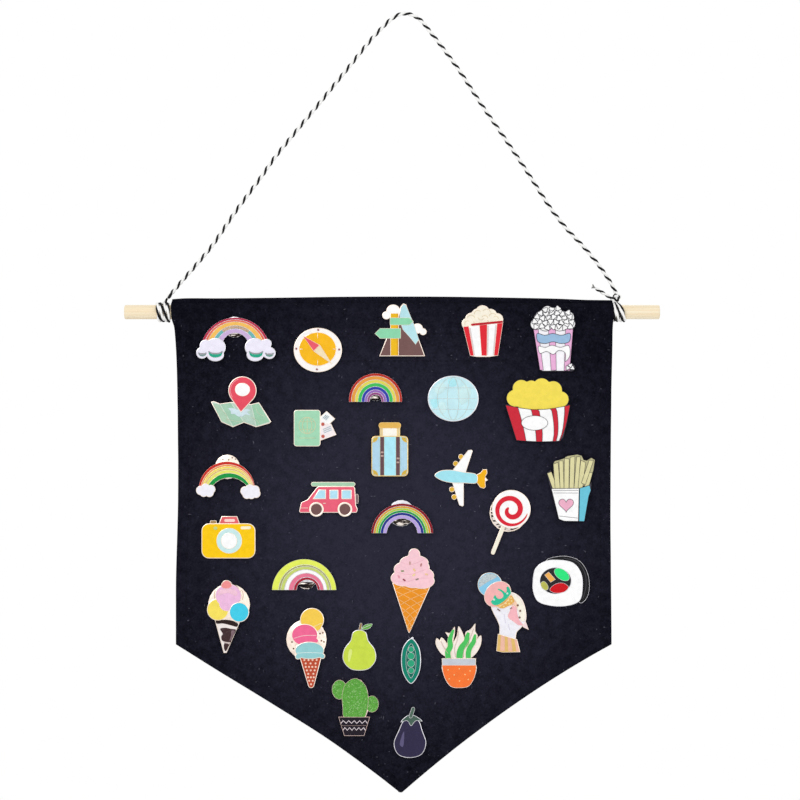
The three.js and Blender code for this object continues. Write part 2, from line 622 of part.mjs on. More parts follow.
for (const badge of badges) {
  const enamel = finish(badge.colour, 0.3, 0.1);
  const [right, above] = badge.at;
  add(`badge_${badge.name}`, badgeGeometry(badge), enamel, BANNER_SHIFT + right, 0, above - DOWEL_DROP);
  if (!BADGES_WITHOUT_CLUTCH.includes(badge.name)) {
    const [x, z] = postPlace(badge);
    const behindLap = z + CLUTCH_DIAMETER / 2 > -LAP_LENGTH;
    const seat = (behindLap ? lapBack : panelBack) + FIT;
    add(`clutch_${badge.name}`, clutchGeometry(), plating, x, seat, z - DOWEL_DROP);
  }
}

export default board;
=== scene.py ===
"""Dresses the pin badge board: canvas banner, dowel, twisted cord, enamel badges, clutches."""

import json

import bmesh
import bpy
import numpy as np
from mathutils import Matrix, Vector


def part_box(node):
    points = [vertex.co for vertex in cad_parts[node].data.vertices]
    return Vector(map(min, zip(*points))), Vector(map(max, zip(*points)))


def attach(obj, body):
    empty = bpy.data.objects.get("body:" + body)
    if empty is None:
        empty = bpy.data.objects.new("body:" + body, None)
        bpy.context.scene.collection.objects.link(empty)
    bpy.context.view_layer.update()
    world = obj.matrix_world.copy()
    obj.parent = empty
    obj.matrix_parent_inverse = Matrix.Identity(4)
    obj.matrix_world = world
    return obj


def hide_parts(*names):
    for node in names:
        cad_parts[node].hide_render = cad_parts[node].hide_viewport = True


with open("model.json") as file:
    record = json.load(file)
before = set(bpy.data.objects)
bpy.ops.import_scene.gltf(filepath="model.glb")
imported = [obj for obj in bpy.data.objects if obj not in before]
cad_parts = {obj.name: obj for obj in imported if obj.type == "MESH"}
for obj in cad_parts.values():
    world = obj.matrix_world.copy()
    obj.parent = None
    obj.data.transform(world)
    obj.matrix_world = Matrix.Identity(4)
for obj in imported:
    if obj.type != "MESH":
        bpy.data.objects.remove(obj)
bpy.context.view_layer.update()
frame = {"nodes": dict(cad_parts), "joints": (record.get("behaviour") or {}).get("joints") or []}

# Everything below is in millimetres, in the frame's axes: x right, y back, z up
MM = 0.001
FULL_TURN = 2 * np.pi


def corners_of(node):
    """Lowest and highest corner of a CAD node."""
    low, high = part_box(node)
    return np.array(low) / MM, np.array(high) / MM


HINGES = [joint for joint in frame["joints"] if joint["type"] == "hinge"]
JOINT_PLACES = {joint["name"]: np.array(joint["pos_m"]) / MM for joint in HINGES}
DOWEL_LOW, DOWEL_HIGH = corners_of("dowel")
BANNER_LOW, BANNER_HIGH = corners_of("banner_cloth")
DOWEL_RADIUS = (DOWEL_HIGH[2] - DOWEL_LOW[2]) / 2
AXIS_Z = (DOWEL_HIGH[2] + DOWEL_LOW[2]) / 2

# Camera: what the picture's frame spans at the cloth's front
PICTURE_WIDTH = 447.0
PICTURE_MIDDLE = (-3.35, -215.6)
LENS = 110.0
SENSOR = 36.0

# Cord
TWINE_DIAMETER = 2.3
PLY_OFFSET = 0.45
TWIST_PITCH = 6.7
TWINE_SIDES = 20
TWINE_STEP = 0.3
CORD_ROUTE = [
    (-133.8, -158.6), (-126.6, -150), (-109.5, -130), (-95.7, -110), (-80.9, -90), (-73.9, -80),
    (-65.9, -70), (-49.3, -50), (-33, -30), (-16.5, -10), (-5.9, -0.4), (0, 1.15), (7, -1.6),
    (14.3, -10), (29.3, -30), (42.4, -50), (56.2, -70), (69.5, -90), (75.8, -100), (82.5, -110),
    (90.5, -120), (99.9, -130), (108.1, -140), (114.9, -150), (117.8, -155.6),
]
LASHING_TURNS = 4
LASHING_LEAN = 0.04
LASHING_LEFT = (-138.7, -132.95)
LASHING_RIGHT = 119.9
LASHED_DIAMETER = 2.1
LASHED_PRESS = 0.76
LASHED_PITCH = 12.3
LASHING_CROSS = 0.5
LASHING_OVERLAP = 0.8
LASHING_CLEARANCE = 0.1
LASHED_RADIUS = DOWEL_RADIUS + LASHING_CLEARANCE + LASHED_PRESS * LASHED_DIAMETER / 2
FAN_BOTTOMS = (-3.2, -1.1, 0.8, 2.5)
FAN_TOPS = (-2.9, -2.35, -1.8, -1.25)
FAN_START = 3.6
FAN_STAGGER = 1.26
KNOT_SIZE = 0.52
TAIL_DIAMETER = 2.0
FRAY_COUNT = 9
FRAY_DIAMETER = 0.34
FRAY_SIDES = 6

# Dowel
DOWEL_SIDES = 48
DOWEL_ROUNDING = 0.8
DOWEL_WAVER = 0.006

# Banner
CLOTH_THICKNESS = 1.0
BANNER_HALF = (BANNER_HIGH[0] - BANNER_LOW[0]) / 2
BANNER_COLUMNS = 190
PANEL_ROWS = 150
BANNER_SIDE = 185.9
BANNER_POINT = BANNER_LOW[2] - AXIS_Z + BANNER_SIDE
TIP_SHIFT = 3.9
LEFT_EDGE_BOW = 2.4
RIGHT_EDGE_BOW = 4.1
LEFT_EDGE_WAVE = 0.9
LAP_LENGTH = 30.0
# What the cloth takes to go round the rod and over the heading
WRAP_LENGTH = 33.0
# How far the heading stands above the pocket along x, and how the hung sides stray with depth
HEADING_LINE = [
    (-121, 2), (-115, 2.45), (-95, 2.45), (-60, 2.85), (-30, 3.3), (0, 3.45), (30, 3.35), (70, 2.7),
    (92, 2.2), (106, 1.6), (121, 1.4),
]
LEFT_SIDE = [
    (-8, -2.6), (-5, -3.6), (0, -3.5), (5, -2.8), (8, -1.8), (14, -1.1), (34, -0.1), (105, 0.5),
    (150, -0.6), (186, -0.7),
]
RIGHT_SIDE = [(-8, 0.6), (-5, 1.4), (0, 1.6), (10, 1), (20, 0.85), (50, 0.2), (115, -0.2), (186, 0.4)]
HEM_WIDTH = 7.0
HEM_SIDES = 16
HEM_HALF_THICKNESS = 0.4
HEM_BEHIND = 0.36
STITCH_PITCH = 3.2
STITCH_LENGTH = 2.3
STITCH_HALF_WIDTH = 0.22
STITCH_RINGS = 5
STITCH_SIDES = 4
SEAM_DEPTHS = (12.5, LAP_LENGTH - 2.5)
HEM_SEAM = 1.2

# Badges: heights above the plate's front, and a level's rise
RIDGE = 0.24
RIDGE_WIDTH = 0.3
LEVEL = 0.13
PLATE_THICKNESS = 1.6
BASE_LEVEL = -PLATE_THICKNESS / LEVEL
EDGE_GAP = 0.06
PLATE_BEVEL = 0.14
# Finishes of a badge's faces; the last is the back disc with painted reflections
METAL_FACE, ENAMEL_FACE, GLITTER_FACE, REFLECTION_FACE = range(4)

# Clutches
CLUTCH_SIDES = 40
CLUTCH_GAP = 0.3
WING_SIDES = 14

# Floor
FLOOR_RADIUS = 480.0
FLOOR_DROP = 90.0
FLOOR_RINGS = 24
FLOOR_SIDES = 96


# Shader maths


class Wire:
    """A node socket of one material. Arithmetic on it adds Math nodes."""

    def __init__(self, tree, socket=None):
        self.tree = tree
        self.socket = socket

    def node(self, kind, settings=None, output=0, **inputs):
        """Adds a node, sets its settings, then the values or links of its sockets.

        A socket is given by its name with _ for spaces, or by its number as n6.
        """
        made = self.tree.nodes.new(kind)
        for key, value in (settings or {}).items():
            setattr(made, key, value)
        self.fill(made, inputs)
        return Wire(self.tree, made.outputs[output])

    def fill(self, made, inputs):
        """Sets or links the sockets of a node."""
        for key, value in inputs.items():
            numbered = key[0] == "n" and key[1:].isdigit()
            socket = made.inputs[int(key[1:]) if numbered else key.replace("_", " ")]
            if isinstance(value, Wire):
                self.tree.links.new(value.socket, socket)
            else:
                socket.default_value = value

    def math(self, operation, *values):
        """Adds one Math node."""
        inputs = {f"n{index}": value for index, value in enumerate(values)}
        return self.node("ShaderNodeMath", {"operation": operation}, **inputs)

    def __add__(self, other):
        return self.math("ADD", self, other)

    def __sub__(self, other):
        return self.math("SUBTRACT", self, other)

    def __rsub__(self, other):
        return self.math("SUBTRACT", other, self)

    def __mul__(self, other):
        return self.math("MULTIPLY", self, other)

    __radd__ = __add__
    __rmul__ = __mul__

    def step(self, low, high, start=0.0, end=1.0):
        """Smooth change from start to end as the value goes from low to high."""
        return self.node(
            "ShaderNodeMapRange", {"interpolation_type": "SMOOTHSTEP"}, Value=self,
            From_Min=low, From_Max=high, To_Min=start, To_Max=end,
        )

    def mix(self, first, second):
        """Colour from first to second by this value."""
        return self.node("ShaderNodeMix", {"data_type": "RGBA"}, 2, n0=self, n6=first, n7=second)

    def noise(self, place, scale, detail=2.0, stretch=(1, 1, 1)):
        """Noise of a feature size of 1 mm over scale, drawn out along an axis by stretch."""
        spread = [scale / MM / part for part in stretch]
        mapped = self.node("ShaderNodeMapping", Vector=place, Scale=spread)
        return self.node("ShaderNodeTexNoise", Vector=mapped, Scale=1.0, Detail=detail)

    def bump(self, height, strength, depth):
        """Normal bent by a height of that depth in millimetres."""
        return self.node("ShaderNodeBump", Height=height, Strength=strength, Distance=depth * MM)


def tint(red, green, blue):
    """Scene-linear colour of an sRGB colour given from 0 to 255."""
    share = np.array([red, green, blue]) / 255
    linear = np.where(share < 0.04045, share / 12.92, ((share + 0.055) / 1.055) ** 2.4)
    return (*linear.tolist(), 1.0)


def new_material(name, **constants):
    """Material with one Principled shader. Returns it, a wire for more nodes and the shader."""
    made = bpy.data.materials.new(name)
    made.use_nodes = True
    shader = made.node_tree.nodes["Principled BSDF"]
    wire = Wire(made.node_tree)
    wire.fill(shader, constants)
    return made, wire, shader


def object_place(wire):
    """Place on the piece, which sits at the origin."""
    return wire.node("ShaderNodeTexCoord", output=3)


# Finishes


def canvas_finish():
    """Black cotton canvas: plain weave, uneven dye, lighter towards the middle, pale lint."""
    made, wire, shader = new_material("black_canvas", Roughness=0.95, Specular_IOR_Level=0.02)
    place = object_place(wire)
    axes = [wire.node("ShaderNodeSeparateXYZ", output=axis, Vector=place) for axis in (0, 2)]
    thread = 0.42 * MM
    warp, weft = [(axis * (np.pi / thread)).math("SINE", axis * (np.pi / thread)) for axis in axes]
    over = (warp * weft).step(-0.3, 0.3)
    weave = over * warp * warp + (1 - over) * weft * weft
    blotch = wire.noise(place, 0.22, 4.0)
    slub = wire.noise(place, 0.9, 3.0)
    # Lighter towards the middle of the banner, darker towards its edges
    middle = wire.node(
        "ShaderNodeVectorMath", {"operation": "DISTANCE"}, 1,
        n0=place, n1=(-0.0067, -0.005, -0.285),
    )
    lighter_middle = middle.step(0.02, 0.17, 1.0, 0.0)
    value = (blotch - 0.5) * 0.5 + (slub - 0.5) * 0.5 + weave * 0.14 + lighter_middle * 0.56 + 0.07
    dyed = value.step(-0.1, 1.0).mix(tint(7, 7, 15), tint(48, 48, 64))
    across = wire.noise(place, 0.9, 1.0, stretch=(2.4, 1, 1)).step(0.74, 0.84)
    upright = wire.noise(place, 0.85, 1.0, stretch=(1, 1, 2.4)).step(0.75, 0.85)
    lint = across.math("MAXIMUM", across, upright)
    colour = (lint * 0.26).mix(dyed, tint(150, 150, 166))
    normal = wire.bump(weave + (slub - 0.5) * 0.8, 0.5, 0.12)
    wire.fill(shader, {"Base_Color": colour, "Normal": normal})
    return made


def thread_finish():
    """Black sewing thread with a fine twist."""
    made, wire, shader = new_material("sewing_thread", Roughness=0.8, Specular_IOR_Level=0.05)
    grain = wire.noise(object_place(wire), 4.0)
    wire.fill(shader, {"Base_Color": grain.mix(tint(12, 11, 18), tint(30, 30, 40))})
    return made


def wood_finish():
    """Pale sanded birch: fine grain along the rod, growth rings at its ends, small pores."""
    made, wire, shader = new_material("birch_dowel", Specular_IOR_Level=0.35)
    place = object_place(wire)
    grain = wire.noise(place, 1.1, 4.0, stretch=(60, 1, 1))
    broad = wire.noise(place, 0.3, 2.0, stretch=(40, 1, 1))
    pores = wire.noise(place, 5.0, 2.0, stretch=(14, 1, 1))
    tone = (grain * 0.6 + broad * 0.6).step(0.35, 0.85)
    base = tone.mix(tint(255, 244, 218), tint(244, 222, 184))
    colour = pores.step(0.66, 0.78).mix(base, tint(214, 182, 136))
    normal = wire.bump(grain + pores * 0.4, 0.25, 0.08)
    wire.fill(
        shader, {"Base_Color": colour, "Roughness": grain.step(0.2, 0.8, 0.5, 0.68), "Normal": normal},
    )
    return made


def twine_finish():
    """Cotton twine of one black and one white ply; each ply is drawn by the piece's own map."""
    made, wire, shader = new_material("two_ply_twine", Roughness=0.92, Specular_IOR_Level=0.15)
    map_place = wire.node("ShaderNodeUVMap", {"uv_map": "twine"})
    ply = wire.node("ShaderNodeAttribute", {"attribute_name": "ply"}, 2)
    stretched = wire.node("ShaderNodeMapping", Vector=map_place, Scale=(2.0, 22.0, 1.0))
    fibre = wire.node("ShaderNodeTexNoise", Vector=stretched, Scale=1.0, Detail=3.0)
    side = (ply + (fibre - 0.5) * 0.25).step(0.12, 0.26)
    black = fibre.mix(tint(8, 8, 9), tint(42, 41, 42))
    white = fibre.mix(tint(252, 251, 249), tint(255, 255, 255))
    normal = wire.bump(fibre, 0.5, 0.15)
    wire.fill(shader, {"Base_Color": side.mix(white, black), "Normal": normal})
    return made


def enamel_finish():
    """Glossy enamel, its colour from the piece, with faint clouding, dust and orange peel."""
    made, wire, shader = new_material(
        "enamel", Specular_IOR_Level=0.1, Coat_Weight=0.1, Coat_Roughness=0.08,
    )
    place = object_place(wire)
    colour = wire.node("ShaderNodeAttribute", {"attribute_name": "enamel"}, 0)
    cloud = wire.noise(place, 0.35, 3.0)
    dust = wire.noise(place, 2.6, 1.0)
    shaded = wire.node(
        "ShaderNodeHueSaturation", Color=colour, Value=cloud.step(0.25, 0.75, 0.95, 1.04),
    )
    dusty = (dust.step(0.7, 0.8) * 0.15).mix(shaded, tint(226, 222, 220))
    wire.fill(shader, {
        "Base_Color": dusty,
        "Roughness": cloud.step(0.3, 0.7, 0.16, 0.34),
        "Normal": wire.bump(cloud + dust * 0.3, 0.15, 0.1),
    })
    return made


def glitter_finish():
    """Enamel of the piece's colour, full of small flakes that differ in brightness and tilt."""
    made, wire, shader = new_material("glitter_enamel", Specular_IOR_Level=0.2, Coat_Weight=0.1)
    place = object_place(wire)
    colour = wire.node("ShaderNodeAttribute", {"attribute_name": "enamel"}, 0)
    spread = wire.node("ShaderNodeVectorMath", {"operation": "SCALE"}, n0=place, Scale=1 / (0.45 * MM))
    flake = wire.node(
        "ShaderNodeSeparateColor",
        Color=wire.node("ShaderNodeTexVoronoi", output=1, Vector=spread, Scale=1.0),
    )
    dark = wire.node("ShaderNodeHueSaturation", Color=colour, Value=flake.step(0.0, 0.6, 0.72, 1.0))
    wire.fill(shader, {
        "Base_Color": (flake.step(0.8, 1.0) * 0.3).mix(dark, tint(226, 240, 200)),
        "Roughness": flake.step(0.0, 1.0, 0.45, 0.2),
        "Normal": wire.bump(flake, 0.5, 0.12),
    })
    return made


def plating_finish(name, bright, dull, rough):
    """Polished plating on stamped metal: slight clouding, hairline scratches, softer spots."""
    made, wire, shader = new_material(name, Metallic=1.0)
    place = object_place(wire)
    cloud = wire.noise(place, 0.5, 3.0)
    hair = wire.noise(place, 7.0, 2.0, stretch=(9, 1, 1))
    wire.fill(shader, {
        "Base_Color": cloud.step(0.3, 0.75).mix(tint(*bright), tint(*dull)),
        "Roughness": (cloud * 0.5 + hair * 0.5).step(0.3, 0.7, rough * 0.7, rough * 1.3),
        "Normal": wire.bump(hair, 0.12, 0.05),
    })
    return made


def painted_reflection_finish():
    """Domed back disc with painted reflections: dark with bright streaks, as polished metal shows over
    black cloth.
    """
    made, wire, shader = new_material("back_disc_painted_reflection", Metallic=1.0, Roughness=0.35)
    place = object_place(wire)
    reflected_streak = wire.noise(place, 0.75, 3.0, stretch=(4, 1, 1))
    # Painted reflections: a dark ground of reflected cloth, with bright reflected streaks over it
    dark = reflected_streak.step(0.35, 0.6).mix(tint(20, 18, 22), tint(58, 48, 42))
    wire.fill(shader, {
        "Base_Color": reflected_streak.step(0.52, 0.6).mix(dark, tint(240, 230, 222)),
        "Normal": wire.bump(reflected_streak, 0.3, 0.1),
    })
    return made


CANVAS = canvas_finish()
THREAD = thread_finish()
BIRCH = wood_finish()
TWINE = twine_finish()
ENAMEL = enamel_finish()
GLITTER = glitter_finish()
PAINTED_REFLECTION = painted_reflection_finish()
GOLD = plating_finish("gold_plating", (250, 222, 160), (232, 190, 112), 0.24)
PALE_GOLD = plating_finish("pale_gold_plating", (252, 240, 226), (238, 218, 204), 0.3)
ROSE = plating_finish("rose_gold_plating", (252, 228, 220), (238, 202, 192), 0.28)
SILVER = plating_finish("nickel_plating", (240, 238, 242), (206, 204, 212), 0.25)
BLACK_NICKEL = plating_finish("black_nickel_plating", (74, 70, 78), (46, 43, 50), 0.35)


# Surfaces and paths


def grid_faces(rows, columns, around=False):
    """Quads between neighbouring points of a grid; around joins its last column to its first."""
    row, column = np.meshgrid(
        np.arange(rows - 1), np.arange(columns - (0 if around else 1)), indexing="ij"
    )
    ahead = (column + 1) % columns
    quads = [row * columns + column, row * columns + ahead]
    quads += [(row + 1) * columns + ahead, (row + 1) * columns + column]
    return np.stack(quads, -1).reshape(-1, 4)


def tube_faces(count, sides):
    """Faces of a closed tube of that many rings: quads between them and a cap on each end."""
    caps = [list(range(sides))[::-1], list(range((count - 1) * sides, count * sides))]
    return grid_faces(count, sides, around=True).tolist() + caps


def joined(parts):
    """Points and faces of several meshes as those of one."""
    starts = np.cumsum([0] + [len(points) for points, _ in parts])
    faces = [[corner + start for corner in f] for (_, fs), start in zip(parts, starts) for f in fs]
    return np.concatenate([points for points, _ in parts]), faces


def make_piece(name, points, faces, finish, body, stands_for=()):
    """Mesh piece from points in millimetres, riding on a body of the frame."""
    mesh = bpy.data.meshes.new(name)
    mesh.from_pydata((np.asarray(points).reshape(-1, 3) * MM).tolist(), [], [list(f) for f in faces])
    piece = bpy.data.objects.new(name, mesh)
    bpy.context.scene.collection.objects.link(piece)
    mesh.materials.append(finish)
    mesh.shade_smooth()
    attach(piece, body)
    if stands_for:
        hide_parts(*stands_for)
    return piece


def face_outwards(piece):
    """Turns the faces of a closed mesh outwards."""
    shell = bmesh.new()
    shell.from_mesh(piece.data)
    bmesh.ops.recalc_face_normals(shell, faces=shell.faces)
    shell.to_mesh(piece.data)
    shell.free()


def through(knots, steps, closed=False):
    """Centripetal Catmull-Rom curve through the knots, with that many steps to a span.

    Each span is blended from its four nearest knots, timed by the root of their distances.
    """
    knots = np.asarray(knots, float)
    count = len(knots)
    if closed:
        around = np.concatenate([knots[-1:], knots, knots[:2]])
        spans = count
    else:
        first, last = 2 * knots[0] - knots[1], 2 * knots[-1] - knots[-2]
        around = np.concatenate([[first], knots, [last]])
        spans = count - 1
    four = [around[index:index + spans][:, None, :] for index in range(4)]
    gaps = [np.sqrt(np.linalg.norm(four[i + 1] - four[i], axis=2, keepdims=True)) for i in range(3)]
    times = [np.zeros_like(gaps[0]), gaps[0], gaps[0] + gaps[1], gaps[0] + gaps[1] + gaps[2]]
    share = (np.arange(steps) / steps)[None, :, None]
    now = times[1] + (times[2] - times[1]) * share

    def between(start, end, start_time, end_time):
        """Straight blend of two points at the present time."""
        return start + (end - start) * (now - start_time) / (end_time - start_time)

    first = [between(four[i], four[i + 1], times[i], times[i + 1]) for i in range(3)]
    second = [between(first[i], first[i + 1], times[i], times[i + 2]) for i in range(2)]
    curve = between(second[0], second[1], times[1], times[2]).reshape(-1, knots.shape[1])
    return curve if closed else np.concatenate([curve, knots[-1:]])


def length_run(path):
    """Length run along a path up to each of its points."""
    return np.concatenate([[0], np.cumsum(np.linalg.norm(np.diff(path, axis=0), axis=1))])


def even(path, step):
    """The path's points again, an even step apart."""
    run = length_run(path)
    count = max(2, int(round(run[-1] / step)) + 1)
    at = np.linspace(0, run[-1], count)
    return np.stack([np.interp(at, run, path[:, axis]) for axis in range(path.shape[1])], 1)


def read_off(line, place):
    """Height at a place of the smooth line through a few (place, height) points."""
    curve = through(line, 6)
    return np.interp(place, curve[:, 0], curve[:, 1])


def unit(vectors):
    """Vectors divided by their lengths."""
    return vectors / np.maximum(np.linalg.norm(vectors, axis=-1, keepdims=True), 1e-9)


def leftward(path):
    """Unit vectors to the left of a flat path's heading."""
    ahead = unit(np.gradient(path, axis=0))
    return np.stack([-ahead[:, 1], ahead[:, 0]], 1)


def ribbon(path, half):
    """Outline of a band along a flat path, that far to each side of it."""
    side = leftward(path) * half
    return np.concatenate([path - side, (path + side)[::-1]])


# Twine


def twine_strand(path, up, diameter=TWINE_DIAMETER, sides=TWINE_SIDES, press=1.0, pitch=TWIST_PITCH):
    """Two plies twisted to the left about a path.

    The section is the outline of two equal circles side by side, which at an angle f from
    their common line is a |cos f| + root(b b - a a sin f sin f), with circles of radius b
    whose centres are a off the path. It turns once in each pitch of the length run, and is
    pressed flat along the up direction where the strand is pulled tight.
    Returns points, faces, and for every point cos f, the length run and f.
    """
    offset = PLY_OFFSET * diameter / TWINE_DIAMETER
    ply = diameter / 2 - offset
    along = unit(np.gradient(path, axis=0))
    side = unit(up - (up * along).sum(1, keepdims=True) * along)
    other = np.cross(along, side)
    run = length_run(path)
    face = np.arange(sides) / sides * FULL_TURN
    reach = offset * np.abs(np.cos(face)) + np.sqrt(ply**2 - (offset * np.sin(face)) ** 2)
    angle = face[None, :] - FULL_TURN * run[:, None] / pitch
    raised, sideways = press * np.cos(angle)[..., None], np.sin(angle)[..., None]
    ring = raised * side[:, None, :] + sideways * other[:, None, :]
    points = path[:, None, :] + reach[None, :, None] * ring
    marks = np.broadcast_arrays(np.cos(face)[None, :], run[:, None], face[None, :] / FULL_TURN)
    faces = tube_faces(len(path), sides)
    return points.reshape(-1, 3), faces, np.stack([mark.ravel() for mark in marks], 1)


def twine_piece(name, strands, stands_for):
    """One piece of several strands, with the ply and the map that the twine's finish reads."""
    points, faces = joined([strand[:2] for strand in strands])
    marks = np.concatenate([strand[2] for strand in strands])
    piece = make_piece(name, points, faces, TWINE, "hanger", stands_for)
    mesh = piece.data
    mesh.attributes.new("ply", "FLOAT", "POINT").data.foreach_set("value", marks[:, 0].astype(np.float32))
    corner_points = np.zeros(len(mesh.loops), np.int32)
    mesh.loops.foreach_get("vertex_index", corner_points)
    place = np.stack([marks[corner_points, 1], marks[corner_points, 2]], 1)
    mesh.uv_layers.new(name="twine").data.foreach_set("uv", place.astype(np.float32).ravel())
    face_outwards(piece)
    return piece


def cord_path():
    """The cord's route in even steps, in the dowel's upright plane."""
    flat = even(through(CORD_ROUTE, 24), TWINE_STEP)
    return np.stack([flat[:, 0], np.zeros(len(flat)), flat[:, 1]], 1)


def make_cord():
    """The hanging cord as one strand along its route."""
    path = cord_path()
    back = np.tile([0.0, 1.0, 0.0], (len(path), 1))
    return twine_piece("hanging_twine", [twine_strand(path, back)], ["hanging_cord"]), path


def away_from_dowel(path):
    """Directions straight out from the dowel's axis at a path's points."""
    return path * [0, 1, 1] - [0, 0, AXIS_Z]


def wrapped_strand(path):
    """Strand pulled tight round the dowel."""
    up = away_from_dowel(path)
    return twine_strand(path, up, LASHED_DIAMETER, press=LASHED_PRESS, pitch=LASHED_PITCH)


def make_left_lashing():
    """Turns of twine side by side round the dowel: a helix whose turns lean as they go down.

    x grows evenly with the turn, up to the last, and by the lean times the depth; the last turn
    crosses back over the others behind the dowel and comes up into the hanging cord.
    """
    turn = np.linspace(-0.7, LASHING_TURNS * FULL_TURN - 0.6, LASHING_TURNS * 60)
    cross = np.clip((turn - turn[-1]) / (0.45 * FULL_TURN) + 1, 0, 1)
    radius = LASHED_RADIUS + LASHING_OVERLAP * np.minimum(3 * cross, 1)
    height = radius * np.cos(turn)
    share = np.minimum((turn / FULL_TURN - 0.25) / (LASHING_TURNS - 1), 1) - LASHING_CROSS * cross
    x = LASHING_LEFT[0] + (LASHING_LEFT[1] - LASHING_LEFT[0]) * share - LASHING_LEAN * height
    coil = np.stack([x, -radius * np.sin(turn), AXIS_Z + height], 1)
    top, onward = [np.array([place[0], 0, place[1]]) for place in CORD_ROUTE[:2]]
    lead = through([coil[-1], (top + coil[-1]) / 2 + [0.1, 0.3, 0.4], top, (top + onward) / 2], 10)
    path = even(np.concatenate([coil, lead[1:]]), TWINE_STEP)
    return twine_piece("left_twine_lashing", [wrapped_strand(path)], ["left_lashing"])


def make_right_lashing():
    """Loops that spread from the knot down round the dowel, the knot and its frayed tail.

    A loop is a circle round the dowel whose x runs from its top's to its foot's by depth. The
    knot is a trefoil curve: (sin t + 2 sin 2t, cos t - 2 cos 2t, -sin 3t), made small.
    """
    low, high = corners_of("right_lashing")
    radius = LASHED_RADIUS
    strands = []
    for index, (top, bottom) in enumerate(zip(FAN_TOPS, FAN_BOTTOMS)):
        turn = np.linspace(0, FULL_TURN, 90) + FAN_START + FAN_STAGGER * (index % 2)
        x = LASHING_RIGHT + top + (bottom - top) * ((1 - np.cos(turn)) / 2) ** 0.6
        loop = np.stack([x, -radius * np.sin(turn) * (1 + 0.02 * index), AXIS_Z + radius * np.cos(turn)], 1)
        strands.append(wrapped_strand(even(loop, TWINE_STEP)))
    knot_middle = np.array([LASHING_RIGHT - 1.6, -0.6, AXIS_Z + radius + 3.2])
    t = np.linspace(0, FULL_TURN, 160)
    trefoil = np.stack([
        np.sin(t) + 2 * np.sin(2 * t), -1.2 * np.sin(3 * t), np.cos(t) - 2 * np.cos(2 * t),
    ], 1)
    knot = even(knot_middle + KNOT_SIZE * trefoil, 0.25)
    strands.append(twine_strand(knot, knot - knot_middle + [0, 0.01, 0], LASHED_DIAMETER))
    backs = np.array([[0.0, 1.0, 0.0]])
    tail_end = np.array([low[0] + 0.6, -0.8, high[2] - 0.6])
    tail_start = knot_middle + [-1, 0, -1.8]
    bend = (tail_start + tail_end) / 2 + [0, -0.5, 0]
    tail = even(through([tail_start, bend, tail_end], 20), TWINE_STEP)
    strands.append(twine_strand(tail, backs, TAIL_DIAMETER))
    ends = [np.array([place[0], 0, place[1]]) for place in CORD_ROUTE[-2:]]
    run_in = even(through([*ends, knot_middle], 16)[14:], TWINE_STEP)
    strands.append(twine_strand(run_in, backs))
    outward = unit(tail_end - bend)
    for index in range(FRAY_COUNT):
        swing = 0.9 * np.sin(2.4 * index + 0.4)
        lift = 0.8 * np.cos(1.7 * index)
        spread = tail_end + outward + [0, 0.3 * lift, 0.4 * swing]
        tip = tail_end + 2.6 * outward + [0.5 * swing, 0.8 * lift, 1.3 * swing]
        fibre = even(through([tail_end - outward, spread, tip], 5), 0.4)
        strands.append(twine_strand(fibre, backs, FRAY_DIAMETER, FRAY_SIDES))
    return twine_piece("right_twine_lashing", strands, ["right_lashing"])


# Banner


def bottom_of(x):
    """Depth of the lower edge below the dowel's axis: two straight edges that bow in a little.

    The bow is 4 s (1 - s) along an edge's share s; the left edge also waves by sin 2 pi s.
    """
    depth = -BANNER_POINT
    left_run, right_run = BANNER_HALF + TIP_SHIFT, BANNER_HALF - TIP_SHIFT
    left, right = (x + BANNER_HALF) / left_run, (BANNER_HALF - x) / right_run
    left_lift = 4 * LEFT_EDGE_BOW * left * (1 - left) * np.hypot(depth, left_run) / left_run
    right_lift = 4 * RIGHT_EDGE_BOW * right * (1 - right) * np.hypot(depth, right_run) / right_run
    left_wave = LEFT_EDGE_WAVE * np.sin(FULL_TURN * left)
    left_edge, right_edge = depth * left - left_lift + left_wave, depth * right - right_lift
    return BANNER_SIDE + np.where(x < TIP_SHIFT, left_edge, right_edge)


def settled(x, depth, y):
    """Cloth points moved as the hung cloth lies.

    The sides draw in and out a little with the depth, and the free edges wave.
    """
    half = BANNER_HALF
    left, right = ((half - x) / (2 * half)) ** 3, ((half + x) / (2 * half)) ** 3
    left_move, right_move = read_off(LEFT_SIDE, depth), read_off(RIGHT_SIDE, depth)
    hang = np.clip((depth - 12) / 40, 0, 1)
    low = np.clip(1 - (bottom_of(x) - depth) / 16, 0, 1)
    side = np.clip(1 - (half - np.abs(x)) / 12, 0, 1)
    free = np.maximum(low, side) ** 2
    wave = 0.12 * np.sin(x / 17 + depth / 31) + free * 0.75 * np.sin(x / 9.5 + depth / 13)
    return np.stack([
        x + left * left_move + right * right_move + JOINT_PLACES["banner_swing"][0],
        y + hang * wave, AXIS_Z - depth,
    ], -1)


